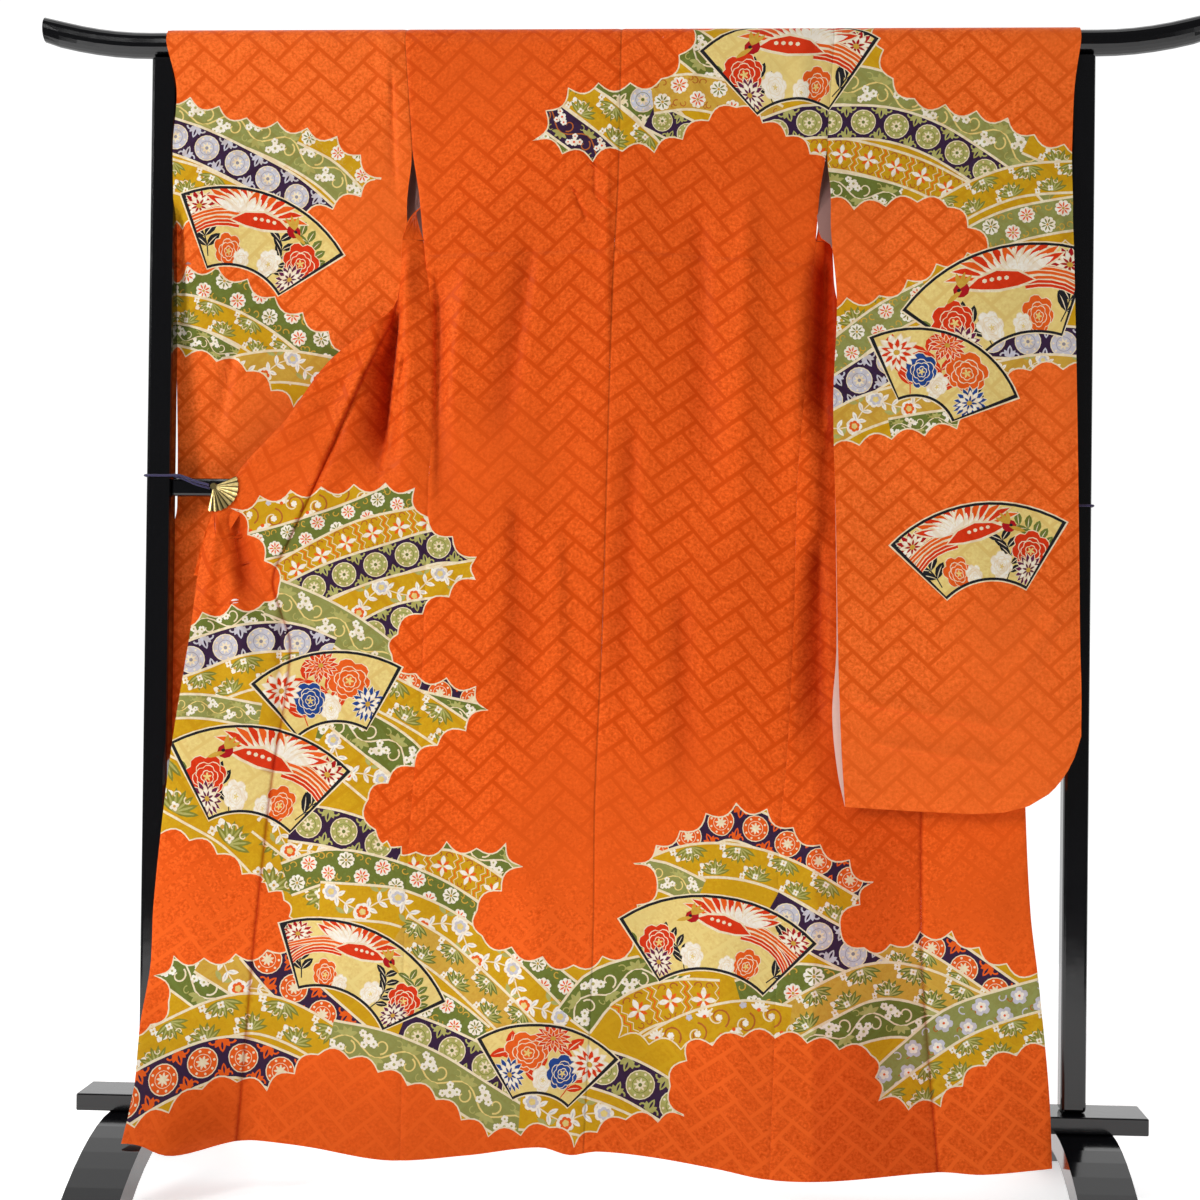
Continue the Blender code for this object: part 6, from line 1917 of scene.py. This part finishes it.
def shown_at_underarm(level, inward):
    """How far the far wall stands past the near one, tapered at both ends of the opening."""
    narrower = 1.0 - 0.16 * ease((1.44 - level) / 0.05)
    ends = ease((UNDERARM_TOP - level) / 0.02) * ease((level - UNDERARM_FOOT[inward]) / 0.02)
    return UNDERARM_SHOWN[inward] * narrower * ends


def wrist_ease(level, inward):
    """How far the wrist edge is drawn in."""
    return (WRIST_EASE[inward] * ease((1.62 - level) / 0.10)
            + WRIST_EASE_BELOW[inward] * ease((0.990 - level) / 0.03))


for side, seam, near_table, far_table, inward in (
        ("left", SLEEVE_SEAM_LEFT, SLEEVE_LEFT_NEAR, SLEEVE_LEFT_FAR, 1),
        ("right", SLEEVE_SEAM_RIGHT, SLEEVE_RIGHT_NEAR, SLEEVE_RIGHT_FAR, -1)):
    for wall, table, far in (("near", near_table, False), ("far", far_table, True)):

        def inner_edge(level):
            inner = straight(seam, level) if level >= ARMHOLE_FOOT else smooth(table, level, 2)
            return inner + inward * (shown_at_underarm(level, inward) if far else -HALF_GAP)

        ends = (lambda level: smooth(table, level) - inward * wrist_ease(level, inward), inner_edge)
        outline = strip_outline(SLEEVE_BASE, TOP_OF_CLOTH, ends, inward, SLEEVE_END)
        weave = weave_from(lambda level: straight(seam, level))
        hang = sleeve_wall(near_table, far_table, seam, far)
        make_cloth(f"sleeve_{side}_{wall}", [(outline, hang, weave, side + " sleeve", far, None)],
                   sleeve_lining, SLEEVE_GROUND_PAINTED_LIGHTER)

# %% [markdown]
# ## The collar
# The collar is one long band of the same silk. Behind the bar it closes the neck and runs down
# inside the fronts, and below it is folded back behind the gores' edges, down to the notch at
# the clips, where a narrow step of it shows past the edge.

# %% Collar pieces
COLLAR_LEG_WIDTH = 0.052
COLLAR_LEG_SLANT = 0.300
COLLAR_NECK_FOOT = 1.652
COLLAR_TAIL_FOOT = 0.889
COLLAR_TAIL_TOP = 1.240


def collar_piece(node, outline, depth_of, outward_behind):
    """Cut a piece of the collar, which is silk on both sides and hangs at its own depth."""
    def hang(across, height):
        return round_the_bar(across, height, depth_of(across, height), np.zeros_like(across), 1)

    cut = (outline, hang, lambda across, height: (across, height), None, outward_behind, None)
    make_cloth(node, [cut], silk)


neck_ends = (lambda level: NECK_EDGE_LEFT[0][1] + HALF_GAP, lambda level: NECK_EDGE_RIGHT[0][1] - HALF_GAP)
collar_piece("collar_neck", strip_outline(COLLAR_NECK_FOOT, TOP_OF_CLOTH, neck_ends),
             lambda across, height: smooth(NECK_EDGE_LEFT, np.minimum(height, BAR_CENTRE), 2),
             True)

for side, neck_edge, front_edge, inward in (
        ("left", NECK_EDGE_LEFT, FRONT_EDGE_LEFT, 1), ("right", NECK_EDGE_RIGHT, FRONT_EDGE_RIGHT, -1)):
    start = lambda level: smooth(neck_edge, level) + inward * HALF_GAP
    width = lambda level: COLLAR_LEG_WIDTH * (1.0 + COLLAR_LEG_SLANT * ease((1.65 - level) / 0.06))
    ends = (start, lambda level: start(level) + inward * width(level))
    leg = strip_outline(ARMHOLE_FOOT, COLLAR_NECK_FOOT - 2 * SEAM_GAP, ends, inward)
    collar_piece(f"collar_{side}_upper", leg, lambda across, height: smooth(neck_edge, height, 2),
                 True)
    ends = (lambda level: smooth(front_edge, level) - inward * smooth(COLLAR_TAIL, level),
            lambda level: smooth(front_edge, level) + inward * smooth(COLLAR_TAIL, level, 2))
    tail = strip_outline(COLLAR_TAIL_FOOT, COLLAR_TAIL_TOP, ends, inward)
    behind = lambda across, height: (smooth(front_edge, height, 2) + LINING_BEHIND_EDGE
                                     - fold_rise(BODY_FOLDS, across, height))
    collar_piece(f"collar_{side}_tail", tail, behind, False)

# %% [markdown]
# ## Floor and light
# The photograph is a studio shot on white. The surround is a white backdrop behind the stand
# and a dimmer room before it, so that the lacquer stays black, and large soft lamps at both
# sides shape the folds without hard shadows. The floor is plain pale paper that is lit through
# from below, as on a light table, which keeps it white under the hem.

# %% Floor, surround and lamps
FLOOR_SIZE = 4.4
LAMPS = (
    # name, place, the point that it looks at, size in metres, power in watts
    ("lamp_left", (-3.4, -2.4, 2.2), (0.0, 0.0, 0.9), 1.0, 90.0),
    ("lamp_right", (2.6, -3.0, 1.8), (0.0, 0.0, 0.9), 2.0, 9.0),
    ("lamp_above", (-0.8, -2.8, 4.2), (0.0, 0.0, 0.8), 1.4, 56.0),
)

bpy.ops.object.select_all(action='DESELECT')
bpy.ops.mesh.primitive_plane_add(size=FLOOR_SIZE, location=(0.0, 0.0, 0.0))
floor = bpy.context.active_object
floor.name = "studio_floor"
paper = Finish("white studio paper")
paper.shade({"Base Color": "#FBFBFB", "Roughness": 0.9, "Emission Color": "#FFFFFF",
             "Emission Strength": 0.55})
floor.data.materials.append(paper.material)

bpy.context.scene.view_settings.view_transform = 'Standard'
surround = bpy.data.worlds.new("white backdrop and dim room")
surround.use_nodes = True
tree = surround.node_tree
heading = node_in(tree, "TexCoord")["Generated"]
ahead = node_in(tree, "SeparateXYZ", {0: heading})["Y"]
bright = node_in(tree, "MapRange", {0: ahead, 1: -0.10, 2: 0.40, 3: 0.10, 4: 1.08},
                 interpolation_type="SMOOTHSTEP")[0]
connect(tree, tree.nodes["Background"], {"Strength": bright, "Color": "#FFFFFF"})
bpy.context.scene.world = surround

for name, place, aim, size, power in LAMPS:
    light = bpy.data.lights.new(name, 'AREA')
    light.shape = 'SQUARE'
    light.size = size
    light.energy = power
    lamp = bpy.data.objects.new(name, light)
    lamp.location = place
    lamp.rotation_euler = (Vector(aim) - Vector(place)).to_track_quat('-Z', 'Y').to_euler()
    bpy.context.collection.objects.link(lamp)
print("lit by", len(LAMPS), "lamps and a white surround")
